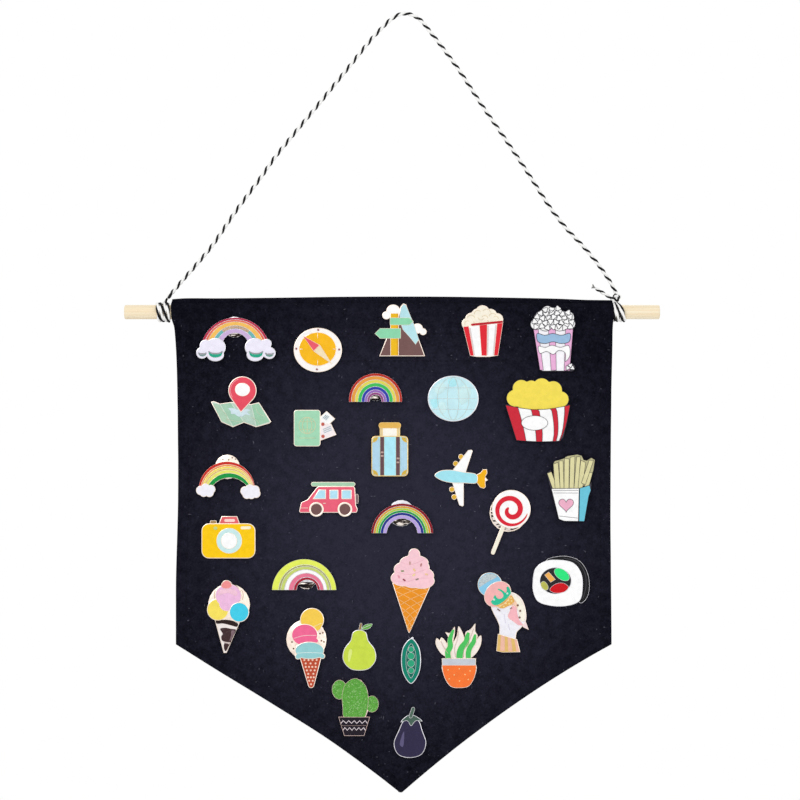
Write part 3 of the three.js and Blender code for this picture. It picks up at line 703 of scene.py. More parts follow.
def make_banner():
    """One sheet of canvas: up the lap behind, round the dowel, over the heading, down the front.

    The path in depth and y is a curve of straight runs and arcs; it is carried along x, with
    a heading that arches and a panel that ends at the pointed lower edge.
    """
    x = np.linspace(-BANNER_HALF, BANNER_HALF, BANNER_COLUMNS)[:, None]
    front = BANNER_LOW[1] + CLOTH_THICKNESS / 2
    ring = -front
    back = front + CLOTH_THICKNESS + 0.05
    lap = through([(back, LAP_LENGTH), (back, 21), (back + 0.05, 12), (-2.0, 7.2), (1.7, 4.55)], 6)
    rise = np.radians(np.linspace(-66, 82, 16))
    fall = np.radians(np.linspace(98, 180, 12))
    top = ring + read_off(HEADING_LINE, x)
    neck = ring * np.sin(rise[-1])
    pinch = ring * np.cos(rise[-1])
    fold = np.radians(np.linspace(0, 180, 9))
    lift = np.linspace(0, 1, 4)[1:]
    columns = [np.broadcast_to(lap[None, :, 0], (len(x), len(lap)))]
    depths = [np.broadcast_to(lap[None, :, 1], (len(x), len(lap)))]

    def add(y, depth):
        """Carries a run of the path on along x."""
        shape = (len(x), np.broadcast(y, depth, x).shape[1])
        columns.append(np.broadcast_to(y, shape))
        depths.append(np.broadcast_to(depth, shape))

    add(ring * np.cos(rise)[None, :], -ring * np.sin(rise)[None, :])
    add(np.full((1, 3), pinch), -(neck + (top - pinch - neck) * lift[None, :]))
    add(pinch * np.cos(fold)[None, 1:-1], -(top - pinch + pinch * np.sin(fold)[None, 1:-1]))
    add(np.full((1, 3), -pinch), -(neck + (top - pinch - neck) * lift[None, ::-1]))
    add(ring * np.cos(fall)[None, :], -ring * np.sin(fall)[None, :])
    share = np.linspace(0, 1, PANEL_ROWS)[None, 1:]
    add(np.full((1, share.shape[1]), front), bottom_of(x) * share)
    y, depth = np.concatenate(columns, 1), np.concatenate(depths, 1)
    points = settled(np.broadcast_to(x, y.shape), depth, y)
    banner = make_piece(
        "canvas_banner", points, grid_faces(*y.shape).tolist(), CANVAS, "banner",
        ["banner_cloth"],
    )
    wall = banner.modifiers.new("thickness", "SOLIDIFY")
    wall.thickness = CLOTH_THICKNESS * MM
    wall.offset = 0.0
    return banner


def edge_line(inset, step):
    """Points along the banner's two sides and lower edges, that far in from them."""
    across = np.linspace(-BANNER_HALF, BANNER_HALF, 240)
    down = np.linspace(LAP_LENGTH + 2, BANNER_SIDE, 60)
    side = np.full(len(down), BANNER_HALF)
    outline = np.concatenate(
        [
            np.stack([-side, down], 1), np.stack([across, bottom_of(across)], 1)[1:-1],
            np.stack([side, down[::-1]], 1),
        ],
    )
    return even(outline - inset * leftward(outline), step)


def make_hems():
    """Folded edge behind the sides and lower edges: a flat rounded strip carried along them."""
    line = edge_line(HEM_WIDTH / 2 + 0.15, 2.0)
    angle = np.arange(HEM_SIDES) / HEM_SIDES * FULL_TURN
    wide = np.sign(np.cos(angle)) * np.abs(np.cos(angle)) ** 0.35 * HEM_WIDTH / 2
    thick = np.sign(np.sin(angle)) * np.abs(np.sin(angle)) ** 0.6 * HEM_HALF_THICKNESS
    flat = line[:, None, :] - wide[None, :, None] * leftward(line)[:, None, :]
    behind = BANNER_LOW[1] + CLOTH_THICKNESS + HEM_BEHIND
    points = settled(flat[..., 0], flat[..., 1], behind + np.broadcast_to(thick[None, :], flat.shape[:2]))
    hems = make_piece("banner_hems", points, tube_faces(len(line), HEM_SIDES), CANVAS, "banner")
    face_outwards(hems)
    return hems


def stitch_row(places, ahead, y):
    """A row of stitches: each is a short bar with lifted middle, of four sides and five rings."""
    ring = np.linspace(-1, 1, STITCH_RINGS)
    side = np.radians([45, 135, 225, 315])
    width = STITCH_HALF_WIDTH * np.sqrt(1.05 - ring**2)
    reach = ring[None, :, None] * STITCH_LENGTH / 2
    across = np.stack([ahead[:, 1], -ahead[:, 0]], 1)
    spread = (width[:, None] * np.cos(side))[None, :, :]
    x = places[:, 0, None, None] + reach * ahead[:, 0, None, None] + spread * across[:, 0, None, None]
    depth = places[:, 1, None, None] + reach * ahead[:, 1, None, None] + spread * across[:, 1, None, None]
    rise = np.broadcast_to((width[:, None] * np.sin(side))[None], x.shape)
    return settled(x, depth, y + rise)


def make_stitches():
    """Seams that close the pocket, hold the lap and hold the hems, seen from both sides."""
    front, back = BANNER_LOW[1] - 0.02, BANNER_LOW[1] + 2 * CLOTH_THICKNESS + 0.07
    across = np.arange(-BANNER_HALF + 3, BANNER_HALF - 3, STITCH_PITCH)
    level = np.tile([1.0, 0.0], (len(across), 1))
    rows = []
    for depth in SEAM_DEPTHS:
        line = np.stack([across, np.full(len(across), depth)], 1)
        rows += [stitch_row(line, level, front), stitch_row(line, level, back)]
    hem = edge_line(HEM_WIDTH - HEM_SEAM, STITCH_PITCH)
    ahead = unit(np.gradient(hem, axis=0))
    behind = BANNER_LOW[1] + CLOTH_THICKNESS + HEM_BEHIND + HEM_HALF_THICKNESS - 0.02
    rows += [stitch_row(hem, ahead, front), stitch_row(hem, ahead, behind)]
    size = STITCH_RINGS * STITCH_SIDES
    points = np.concatenate([row.reshape(-1, size, 3) for row in rows])
    one = np.array(tube_faces(STITCH_RINGS, STITCH_SIDES))
    faces = (one[None] + size * np.arange(len(points))[:, None, None]).reshape(-1, 4)
    stitches = make_piece("banner_stitches", points, faces.tolist(), THREAD, "banner")
    face_outwards(stitches)
    return stitches


def make_dowel():
    """Turned rod: a profile of radius against length with rounded ends, spun about the axis.

    The radius wavers by a few hundredths, as a sanded rod's does.
    """
    half = (DOWEL_HIGH[0] - DOWEL_LOW[0]) / 2
    middle = (DOWEL_HIGH[0] + DOWEL_LOW[0]) / 2
    bend = np.radians(np.linspace(0, 90, 8))
    rounding = DOWEL_ROUNDING
    end_x = half - rounding + rounding * np.sin(bend)
    end_r = DOWEL_RADIUS - rounding + rounding * np.cos(bend)
    run = np.linspace(-half + rounding, half - rounding, 120)[1:-1]
    face_r = np.array([2.6, 1.6, 0.7, 0.02])
    x = np.concatenate([np.full(4, -half), -end_x[::-1], run, end_x, np.full(4, half)])
    r = np.concatenate([face_r[::-1], end_r[::-1], np.full(len(run), DOWEL_RADIUS), end_r, face_r])
    angle = np.arange(DOWEL_SIDES) / DOWEL_SIDES * FULL_TURN
    waver = 1 - DOWEL_WAVER * (1 + np.sin(3 * angle[None, :] + x[:, None] / 19)) / 2
    radius = r[:, None] * waver
    points = np.stack([
        np.broadcast_to(middle + x[:, None], radius.shape), radius * np.cos(angle),
        AXIS_Z + radius * np.sin(angle),
    ], -1)
    dowel = make_piece(
        "birch_rod", points, tube_faces(len(x), DOWEL_SIDES), BIRCH, "hanger", ["dowel"],
    )
    face_outwards(dowel)
    return dowel


# Outlines on a badge, u right and v up from its middle, anticlockwise


def oval(u, v, half_width, half_height=None, turn=0.0):
    """Ellipse, or a circle where one half size is given, turned by an angle."""
    half_height = half_width if half_height is None else half_height
    count = int(np.clip(18 + 5 * max(half_width, half_height), 20, 72))
    angle = np.arange(count) / count * FULL_TURN
    a, b = half_width * np.cos(angle), half_height * np.sin(angle)
    return np.stack([
        u + a * np.cos(turn) - b * np.sin(turn), v + a * np.sin(turn) + b * np.cos(turn),
    ], 1)


def arc(u, v, radius, start, end, count=14):
    """Points on a circle from one angle in degrees to another."""
    angle = np.radians(np.linspace(start, end, count))
    return np.stack([u + radius * np.cos(angle), v + radius * np.sin(angle)], 1)


def smooth(points, steps=6):
    """Closed curve through the points."""
    return through(points, steps, closed=True)


def rounded_box(left, bottom, right, top, corner):
    """Upright box whose corners are quarter circles."""
    return np.concatenate([
        arc(right - corner, top - corner, corner, 0, 90, 7),
        arc(left + corner, top - corner, corner, 90, 180, 7),
        arc(left + corner, bottom + corner, corner, 180, 270, 7),
        arc(right - corner, bottom + corner, corner, 270, 360, 7),
    ])


def capsule(start, end, radius):
    """Straight bar with a half circle on each end."""
    heading = np.degrees(np.arctan2(end[1] - start[1], end[0] - start[0]))
    return np.concatenate([
        arc(*end, radius, heading - 90, heading + 90, 9),
        arc(*start, radius, heading + 90, heading + 270, 9),
    ])


def arch(base, outer, inner):
    """Band between two circles, each u, v and radius, cut off level at the base."""
    outer_foot, inner_foot = [np.degrees(np.arcsin((base - v) / radius)) for _, v, radius in (outer, inner)]
    return np.concatenate([
        arc(*outer, outer_foot, 180 - outer_foot, 48),
        arc(*inner, 180 - inner_foot, inner_foot, 48),
    ])


def bands(base, outer, inner, tops):
    """Nested arches from an outer circle (u, v, radius) to an inner one, parted at these heights."""
    shares = [(tops[0] - top) / (tops[0] - tops[-1]) for top in tops]
    circles = [[o + (i - o) * share for o, i in zip(outer, inner)] for share in shares]
    return [arch(base, *pair) for pair in zip(circles, circles[1:])]


def lobes(middle, ovals, count=150):
    """Outline of overlapping ovals: in each direction from a point inside, the farthest crossing.

    A ray from the middle meets an oval where a t t + 2 b t + c = 0 in the oval's own scale.
    """
    ovals = np.array([(o[0], o[1], o[2], o[3] if len(o) > 3 else o[2]) for o in ovals], float)
    angle = np.arange(count) / count * FULL_TURN
    ray = np.stack([np.cos(angle), np.sin(angle)], 1)
    start = (np.array(middle) - ovals[:, :2]) / ovals[:, 2:]
    scaled = ray[:, None, :] / ovals[None, :, 2:]
    a, b = (scaled**2).sum(2), (scaled * start[None]).sum(2)
    room = b**2 - a * ((start**2).sum(1) - 1)[None]
    reach = np.where(room > 0, (np.sqrt(np.maximum(room, 0)) - b) / a, 0).max(1)
    return np.array(middle) + reach[:, None] * ray


def within(quad, s, t):
    """Point of a four-cornered patch: s from its left to its right, t from its foot to its top."""
    low_left, low_right, top_right, top_left = [np.array(corner, float) for corner in quad]
    return (low_left * (1 - s) + low_right * s) * (1 - t) + (top_left * (1 - s) + top_right * s) * t


def stripe(quad, start, end, low=0.0, high=1.0):
    """Upright part of a four-cornered patch between two shares of its width."""
    return np.array(
        [
            within(quad, start, low), within(quad, end, low), within(quad, end, high),
            within(quad, start, high),
        ],
    )


def kernel(u, v, size, turn=0.0):
    """Puffed kernel: a ring whose radius swells three times on its way round."""
    angle = np.arange(30) / 30 * FULL_TURN
    radius = size * (0.84 + 0.16 * np.cos(3 * angle + turn))
    return np.stack([u + radius * np.cos(angle), v + radius * np.sin(angle)], 1)


# Raised work on a badge


def inset(outline, distance):
    """Outline moved inwards: each corner along the mean of its two edges' inward normals."""
    ahead = unit(np.roll(outline, -1, 0) - outline)
    inward = np.stack([-ahead[:, 1], ahead[:, 0]], 1)
    before = np.roll(inward, 1, 0)
    stretch = np.maximum(1 + (inward * before).sum(1, keepdims=True), 0.3)
    return outline + distance * (inward + before) / stretch


def anticlockwise(outline):
    """The outline, turned round where its signed area is negative."""
    outline = np.asarray(outline, float)
    return outline if np.cross(outline, np.roll(outline, -1, 0)).sum() > 0 else outline[::-1]


class Relief:
    """Raised metal and enamel of one badge, gathered as rings of points above its front."""

    def __init__(self):
        self.points, self.faces, self.finishes, self.colours = [], [], [], []
        self.count = 0

    def rings(self, outlines, heights, finish, colour, capped):
        """Rings of the same outline joined one to the next; capped closes the last by one face."""
        size = len(outlines[0])
        points = np.concatenate([
            np.column_stack([outline, np.full(size, height)]) for outline, height in zip(outlines, heights)
        ])
        faces = (grid_faces(len(outlines), size, around=True) + self.count).tolist()
        if capped:
            faces.append(list(range(self.count + len(points) - size, self.count + len(points))))
        self.faces += faces
        self.finishes += [finish] * len(faces)
        self.colours.append(np.tile(colour, (len(points), 1)))
        self.points.append(points)
        self.count += len(points)

    def cell(self, outline, colour, level=0, rim=RIDGE_WIDTH, finish=ENAMEL_FACE):
        """Enamel field inside a raised metal rim, which is narrower on a narrow field."""
        outline = anticlockwise(outline)
        ahead = np.roll(outline, -1, 0)
        area = np.cross(outline, ahead).sum() / 2
        rim = min(rim, 0.55 * area / np.linalg.norm(ahead - outline, axis=1).sum())
        top = RIDGE + LEVEL * level
        filled = inset(outline, EDGE_GAP + 0.03)
        foot = min(-0.1, top - 0.35)
        self.rings([filled, filled], [foot, top - 0.1], finish, tint(*colour), True)
        insets = np.array([0, 0, 0.2 * rim, 0.8 * rim, rim]) + EDGE_GAP
        heights = [foot, top - 0.06, top, top, top - 0.15]
        self.rings([inset(outline, d) for d in insets], heights, METAL_FACE, tint(*colour), False)

    def wash(self, outline, colour, level=1, finish=ENAMEL_FACE):
        """Enamel or metal spot with no rim of its own."""
        outline = anticlockwise(outline)
        top = RIDGE + LEVEL * level
        rings = [inset(outline, d) for d in (0, 0, 0.06)]
        self.rings(rings, [min(-0.1, top - 0.35), top - 0.06, top], finish, tint(*colour), True)

    def line(self, points, width=0.32, level=1, colour=None):
        """Raised line along points, of metal or of a colour, with its own two sides."""
        outline = ribbon(np.asarray(points, float), width / 2)
        self.wash(outline, colour or WHITE, level, ENAMEL_FACE if colour else METAL_FACE)

    def strokes(self, curves, width, level, colour):
        """Smooth raised lines, each through a few knots."""
        for knots in curves:
            self.line(through(knots, 6), width, level, colour)

    def rainbow(self, colours, rim, *arches):
        """Nested arches, an enamel colour to each."""
        for band, colour in zip(bands(*arches), colours):
            self.cell(band, colour, rim=rim)

    def dish(self, u, v, radius, start=0, end=360):
        """Dome on the back disc with painted reflections, or its part between two angles.

        Its outline draws in towards its middle as it rises.
        """
        outline = arc(u, v, radius, start, end, 49)[:-1]
        middle = outline.mean(0)
        rings = [middle + part * (outline - middle) for part in (1.0, 0.97, 0.75, 0.45, 0.15)]
        self.rings(rings, (-1.8, -1.54, -1.3, -1.14, -1.08), REFLECTION_FACE, tint(*WHITE), True)

    def marks(self, places, radius, colour, level=2):
        """Small round spots."""
        for u, v in places:
            self.wash(oval(u, v, radius), colour, level)


WHITE = (255, 255, 255)


# What is painted on each badge, cell by cell


def paint_rainbow_clouds(art):
    """Five nested arches that end in two clouds, with crescents below."""
    # Back disc under the arch, with painted reflections
    art.dish(-0.6, 6.4, 5.75, 190, 350)
    colours = ((186, 46, 76), (234, 112, 78), (246, 192, 96), (112, 184, 182), (206, 178, 222))
    art.rainbow(colours, 0.06, -2.5, (0, -7.8, 19.5), (0, -4.4, 7.5), (11.7, 10.5, 9.4, 7.2, 5.4, 3.1))
    sheen = np.concatenate([arc(0, -5.8, 12.8, 52, 126, 24), arc(0, -5.2, 10.8, 126, 50, 24)])
    art.wash(sheen, (206, 172, 146), 0, GLITTER_FACE)
    puffs = [(-11, -4.9, 5.7, 5.2), (-16.4, -4.1, 3.5), (-18.5, -8, 3.3), (-11.1, -9.2, 4.8, 3.6)]
    left = lobes((-13.5, -6.5), puffs)
    mirror = [(-u, *rest) for u, *rest in puffs]
    right = lobes((13.5, -6.5), mirror + [(17.7, -2.8, 2.6), (19.1, -8.1, 3.4)])
    for cloud in (left, right):
        art.cell(cloud, (240, 236, 252), 2, 0.5)
    crescent = np.array(
        [
            (-3.9, 1.1), (-2.4, 0.2), (0, -0.1), (2.4, 0.2), (3.9, 1.1), (3.4, -1), (1.6, -2.1),
            (-1.6, -2.1), (-3.4, -1),
        ],
    )
    for u, v, size, colour in (
        (-11, -8.5, 1, (40, 168, 136)), (11.6, -8.5, 1, (40, 168, 136)),
        (-18.3, -8.8, 0.58, (120, 150, 146)), (19.1, -9, 0.6, (104, 150, 136)),
    ):
        art.cell(smooth(crescent[::-1] * size + (u, v)), colour, 3, 0.14)
        art.line(through(crescent[:5] * size + (u, v + 0.2), 5), 0.6, 4, (150, 150, 154))


def paint_compass(art):
    """Ring and amber dial, four ticks and a needle of two long triangles."""
    art.cell(oval(0.2, 0, 13.5, 12.4), (254, 250, 248), rim=0.35)
    art.cell(oval(0.1, 0.5, 10.5, 9.5), (250, 188, 26), 1, 0.3)
    for start, end in (
        ((0.1, 9.4), (0.1, 6.6)), ((0.1, -5.6), (0.1, -8.4)), ((-9.9, 0.5), (-8.3, 0.5)),
        ((10.1, 0.5), (8.5, 0.5)),
    ):
        art.line([start, end], 0.3, 2)
    art.cell([(-8.1, 7.9), (-2.2, -0.8), (1.5, 2.8)], (236, 92, 110), 3, 0.25)
    art.cell([(1.5, 2.8), (-2.2, -0.8), (8.3, -8)], (244, 226, 190), 3, 0.25)
    art.marks([(0.4, 11.2), (12.1, 0.3), (-0.3, -10.8), (-11.8, 0.7)], 0.55, (156, 92, 98))


def paint_mountain_signpost(art):
    """Peak with its snow, two clouds behind, and a post with two boards in front."""
    art.cell(lobes((-5, 9.5), [(-4, 10.2, 4), (-7.9, 8.1, 2.3)]), WHITE, 0, 0.35)
    art.cell(lobes((10.3, 0.5), [(9.6, 0.8, 2.9), (12.6, -1, 2)]), WHITE, 0, 0.35)
    peak = [(3.2, 14.2), (1.6, 14.8), (0, 13), (-1.2, 8), (-8, -5)]
    art.cell([(-11.9, -14.7), (13.8, -14.7)] + peak, (118, 86, 84), 1, 0.45)
    snow = [
        (-0.6, 8), (0.1, 12.4), (1.6, 14.6), (3.2, 13.8), (7.5, 3.6), (10.4, -5.3), (8.5, -8.4),
        (5.2, -4.3), (1.3, 0), (-0.4, 4.6),
    ]
    art.cell(snow, (186, 230, 238), 2, 0.2)
    art.cell(rounded_box(-5.7, -14.6, -0.9, 9.4, 0.3), (240, 188, 30), 3, 0.3)
    art.wash(rounded_box(-2.0, -14.0, -1.2, 9.0, 0.2), (222, 166, 30), 3)
    art.cell([(-6, 2.6), (5, 2.6), (7.5, 4.7), (5, 6.9), (-6, 6.9)], (142, 216, 174), 4, 0.22)
    art.cell([(-14.5, -2), (-11.4, -4.9), (0.3, -4.9), (0.3, 1), (-11.4, 1)], (142, 216, 174), 4, 0.22)


def paint_popcorn_box(art):
    """Heap of round curls over a box with upright stripes."""
    heap = [
        (-8.1, 3.7, 3.4), (-5.8, 6.2, 3.8), (-2.6, 8.6, 3.6), (0.2, 10, 4.1), (4.6, 8.2, 3.9),
        (8.3, 6.2, 3.5), (0, 5.6, 6), (6.4, 4.6, 3.4),
    ]
    art.cell(lobes((0.3, 5), heap), (252, 244, 226), 0, 0.3)
    curls = (
        (-6.2, 6.4, 2.2, 20), (-2.4, 9.2, 2.0, 40), (2.4, 9.8, 2.2, 10), (5.8, 7.6, 2.0, 30),
        (-3.0, 5.6, 2.0, 200), (1.4, 6.6, 1.8, 10), (-8.2, 3.8, 1.6, 60), (4.4, 6.0, 1.4, 190),
        (-0.6, 7.6, 1.7, 190), (7.6, 6.6, 1.4, 0),
    )
    for u, v, size, start in curls:
        art.line(arc(u, v, size, start, start + 140, 9), 0.28, 1, (232, 216, 186))
    quad = [(-6.8, -14.3), (8.9, -14.2), (11.8, 4.8), (-10.8, 2.2)]
    art.cell([(-6.8, -14.2), (-3, -14.8), (4, -14.8), (8.9, -14), (11.8, 4.8), (-10.8, 2.2)], WHITE, 2, 0.4)
    for start, end in ((0.0, 0.15), (0.4, 0.61), (0.84, 1.0)):
        art.cell(stripe(quad, start, end), (226, 40, 54), 3, 0.25)
    for start, end in ((0.15, 0.185), (0.61, 0.645), (0.805, 0.84)):
        art.wash(stripe(quad, start, end, 0.03, 0.93), (226, 214, 214), 2)
    art.cell(capsule((-5.6, 3.2), (10.9, 4.8), 0.8), (188, 26, 42), 4, 0.14)


def paint_popcorn_cup(art):
    """Striped cup with a sash and a spill, under rows of puffed kernels."""
    heap = [
        (-9.2, 8, 3.3), (-6.6, 11.8, 3.6), (-2.8, 14.8, 3.6), (2, 13.8, 3.8), (5.6, 12.2, 3.3),
        (8.4, 11.6, 3.8), (9.5, 8.2, 3.3), (-4, 8.4, 4.4), (4, 8.4, 4.4),
    ]
    quad = [(-7.2, -17.7), (9.6, -18.1), (11.7, 7), (-11.1, 7)]
    art.cell([(-7.2, -17.4), (-5.8, -18.3), (9.6, -18.3), (11.7, 7), (-11.1, 7)], (252, 250, 255), 0, 0.3)
    for start, end in ((0.0, 0.13), (0.37, 0.56), (0.8, 1.0)):
        art.cell(stripe(quad, start, end), (236, 178, 218), 1, 0.22)
    sash = [
        (-8.8, 3), (-4.4, 2), (0, 3), (4.8, 2), (9.8, 3), (9.4, -1.8), (4.8, -3), (0.2, -2), (-4.2, -3),
        (-8.4, -1.8),
    ]
    art.cell(smooth(sash[::-1]), (156, 190, 222), 2, 0.3)
    spill = [
        (-8, -4.2), (-4.2, -4.8), (-0.4, -3.6), (4.2, -4.8), (9, -3.8), (9.6, -10), (7, -13), (6.8, -8),
        (3.4, -6.8), (0.4, -9), (-3.4, -7.4), (-7.2, -8.4),
    ]
    art.cell(smooth(spill), WHITE, 2, 0.24)
    art.cell(lobes((0.3, 9), heap), WHITE, 2, 0.3)
    rows = (
        (6.5, 7, 0.3, 9.6), (9.1, 8, 0.3, 10.4), (11.7, 7, 0.5, 9.2), (14.1, 6, 0.9, 7.7),
        (16.3, 3, -0.6, 3.6),
    )
    for row, (v, count, middle, reach) in enumerate(rows):
        for index in range(count):
            u = middle + reach * (2 * index / (count - 1) - 1)
            shift = 0.5 * np.sin(2.1 * index + row)
            level = 3 + 0.4 * ((3 * row + 2 * index) % 5)
            art.cell(kernel(u, v + shift, 1.9, 1.3 * index + row), WHITE, level, 0.34)
    for index, (u, v) in enumerate(((8.4, -16.4), (11, -16.4), (9.9, -15))):
        art.cell(kernel(u, v, 1.5, 1.9 * index), WHITE, 3 + 0.4 * index, 0.3)


def paint_map_pin(art):
    """Folded sheet of four panels with a lake and roads, under a drop-shaped marker."""
    folds_top = [(-16.4, -0.4), (-11.6, -1.1), (-5.4, -0.3), (5.8, -1.4), (10.1, -0.6)]
    folds_low = [(-10.8, -10.8), (-4.4, -13.7), (1.8, -11.3), (8.6, -13.7), (16.4, -11)]
    sheet = [
        (-16.7, 0.1), (-10.9, -11.2), (-4.4, -14.1), (1.8, -11.6), (8.6, -14.1), (16, -12), (17, -11),
        (10.2, -0.1), (5.8, -1.2), (-5.4, 0), (-11.6, -0.9), (-15, 0.5),
    ]
    art.cell(sheet, (208, 226, 212), 0, 0.4)
    greens = ((176, 210, 184), (164, 206, 180), (184, 212, 196), (160, 208, 176))
    for index, colour in enumerate(greens):
        panel = [folds_low[index], folds_low[index + 1], folds_top[index + 1], folds_top[index]]
        art.wash(inset(anticlockwise(panel), 0.28), colour, 0)
    lake = [
        (-6.9, -3.6), (-4.6, -3.4), (-1.6, -4.2), (2.4, -3.8), (5.4, -4.6), (3.6, -5.6), (5.4, -7.4),
        (2.8, -7), (0.6, -8.2), (-1.6, -8), (-3.4, -6.8), (-5.4, -6.6), (-5.6, -5.2),
    ]
    art.wash(smooth(lake), (210, 230, 238), 1)
    roads = (
        [(-14.6, -2.4), (-10, -5), (-8, -7.4), (-7.4, -11)], [(5.6, -8.4), (8.6, -10), (10.4, -12)],
        [(8.4, -3), (9.6, -6), (13.6, -8.2)], [(-8, -9.6), (-2, -10.8), (3, -10.4)],
    )
    art.strokes(roads, 0.26, 1.3, (206, 216, 190))
    drop = np.concatenate([arc(0.95, 6.4, 7.9, -36, 217, 44), [(-0.4, -5.4), (0.1, -5.9), (0.7, -5.4)]])
    art.cell(drop, (232, 80, 98), 3, 0.5)
    art.line(arc(0.95, 6.4, 6.7, 110, 215, 16), 0.3, 3, (250, 176, 184))
    art.cell(oval(1, 6.9, 4.3, 3.8), WHITE, 4, 0.3)


def paint_rainbow_small(art):
    """Seven nested arches over a disc with painted reflections."""
    art.dish(0.3, -2.4, 5.05, 190, 350)
    colours = (
        (186, 46, 32), (232, 158, 66), (226, 216, 90), (66, 192, 92), (48, 64, 170), (150, 104, 190),
        (150, 76, 132),
    )
    art.rainbow(
        colours, 0.06, -8.1, (0.3, -7, 14.9), (0.3, -7.4, 3.3), (7.9, 6.4, 4.3, 2.5, 0.5, -1.3, -2.7, -4.1),
    )


def paint_globe(art):
    """Pale ball with patches of land, half ellipses upright and chords across."""
    art.cell(oval(0, 0, 14.2, 12.8), (200, 238, 245), rim=0.5)
    land = (207, 240, 242)
    art.wash(smooth([(-10.4, 5.8), (-6.6, 9), (-3.6, 6.6), (-5.8, 3.4), (-9.2, 2.4)]), land, 0)
    art.wash(smooth([(2.4, 4.6), (6.4, 7.6), (10, 4.4), (8.4, -1), (4.6, -3.4), (2.8, 0.4)]), land, 0)
    art.wash(smooth([(-7.4, -2), (-4.4, -2.6), (-3.8, -6.4), (-6.2, -9), (-8, -5.8)]), land, 0)
    art.wash(smooth([(-12.6, -1), (-9, 0.4), (-8.2, -3.6), (-10.4, -5.4)]), (180, 238, 247), 0)
    art.wash(smooth([(-2.6, 10.6), (1, 10.8), (1.6, 7.2), (-2, 7)]), (180, 238, 247), 0)
    turn = np.radians(np.linspace(-90, 90, 25))
    for width in (-8.8, -3.2, 3.2, 8.8):
        art.line(np.stack([width * np.cos(turn), 11.9 * np.sin(turn)], 1), 0.24, 1, (212, 220, 214))
    for v in (-6, 0, 6):
        reach = 13.2 * np.sqrt(1 - (v / 12.8) ** 2)
        art.line([(-reach, v), (reach, v)], 0.2, 1.4, (222, 226, 226))


def paint_popcorn_bucket(art):
    """Heap over a round bucket whose stripes swell, with a bare oval plaque."""
    heap = [
        (-12.6, 6.6, 5), (-9.2, 12, 5.1), (-3.6, 12.4, 4.4), (2.2, 12.8, 5.2), (8.6, 11.2, 5.2),
        (12.8, 6, 4.7), (-5, 5, 7), (5.4, 5, 7),
    ]
    art.cell(lobes((0, 4.4), heap, 180), (246, 224, 88), 0, 0.3)
    quad = [(-12, -17), (12.4, -17.4), (18.2, 3), (-18.2, 3)]

    def panel(top, foot):
        """Upright strip of the bucket between shares of its rim and of its foot, swelling to the right."""
        sides = []
        rise = np.linspace(0.02, 0.98, 7)
        for edge in (0, 1):
            share = foot[edge] + (top[edge] - foot[edge]) * rise
            swell = 0.9 * share * np.sin(np.pi * rise**0.7)
            upright = np.array([within(quad, s, t) for s, t in zip(share, rise)])
            sides.append(upright + np.outer(swell, [1, 0]))
        across = np.linspace(0, 1, 9)
        rim_share, foot_share = [ends[0] + (ends[1] - ends[0]) * across for ends in (top, foot)]
        rim = np.array([within(quad, s, 1 - 0.13 * np.sin(np.pi * s)) for s in rim_share])
        low = np.array([within(quad, s, -0.03 * np.sin(np.pi * s)) for s in foot_share])
        keep = [side[side[:, 1] < rim[end, 1] - 0.3] for side, end in zip(sides, (0, -1))]
        return np.concatenate([low, keep[1][1:], rim[::-1], keep[0][:0:-1]])

    art.cell(panel((0, 1), (0, 1)), WHITE, 2, 0.3)
    for top, foot in (
        ((0, 0.19), (0, 0.23)), ((0.375, 0.505), (0.45, 0.6)), ((0.69, 0.785), (0.83, 0.92)),
        ((0.91, 1), (0.97, 1)),
    ):
        art.cell(panel(top, foot), (206, 40, 58), 3, 0.24)
    art.cell(oval(-1.8, -7.2, 7.5, 4.2), WHITE, 4, 0.24)


def paint_passport(art):
    """Rounded cover with a ringed ball, and two tickets behind it."""
    art.cell([(2, 0), (7.4, 1), (11.7, 4.9), (6.8, 9.4), (2, 5)], WHITE, 0, 0.3)
    art.cell([(2, -7.8), (12.3, -4.1), (9.3, 2.3), (2, 2)], (250, 240, 242), 1, 0.3)
    for shift in (0.0, 0.8, 1.6):
        row = capsule((4.7 + shift, 5.3 - 0.6 * shift), (6.4 + shift, 7 - 0.4 * shift), 0.15)
        art.wash(row, (150, 172, 182), 2)
    for drop in (0.0, 0.95, 1.9):
        row = capsule((4.8 + 0.35 * drop, -1 - drop), (9 + 0.33 * drop, 0.7 - drop), 0.15)
        art.wash(row, (162, 192, 202), 2)
    art.marks([(4.7, 1.9), (4.8, -4.9)], 0.95, (198, 96, 84), 2)
    art.cell(rounded_box(-11.5, -10.5, 3.4, 9.9, 1.6), (164, 218, 184), 3, 0.4)
    pale = (206, 214, 176)
    art.line([(-9.9, -9.4), (-9.9, 8.8)], 0.2, 3, (188, 222, 194))
    emblem = oval(-4, 1.2, 4.6)
    art.line(np.concatenate([emblem, emblem[:1]]), 0.4, 3, pale)
    turn = np.radians(np.linspace(-90, 90, 15))
    for width in (-2.6, 0, 2.6):
        art.line(np.stack([-4 + width * np.cos(turn), 1.2 + 4.4 * np.sin(turn)], 1), 0.4, 3.3, pale)
    for v in (-0.9, 3.3):
        art.line([(-8.1, v), (0.1, v)], 0.24, 3.6, pale)
    art.line([(-8.6, -5.8), (0.6, -5.8)], 0.7, 3, (186, 218, 180))


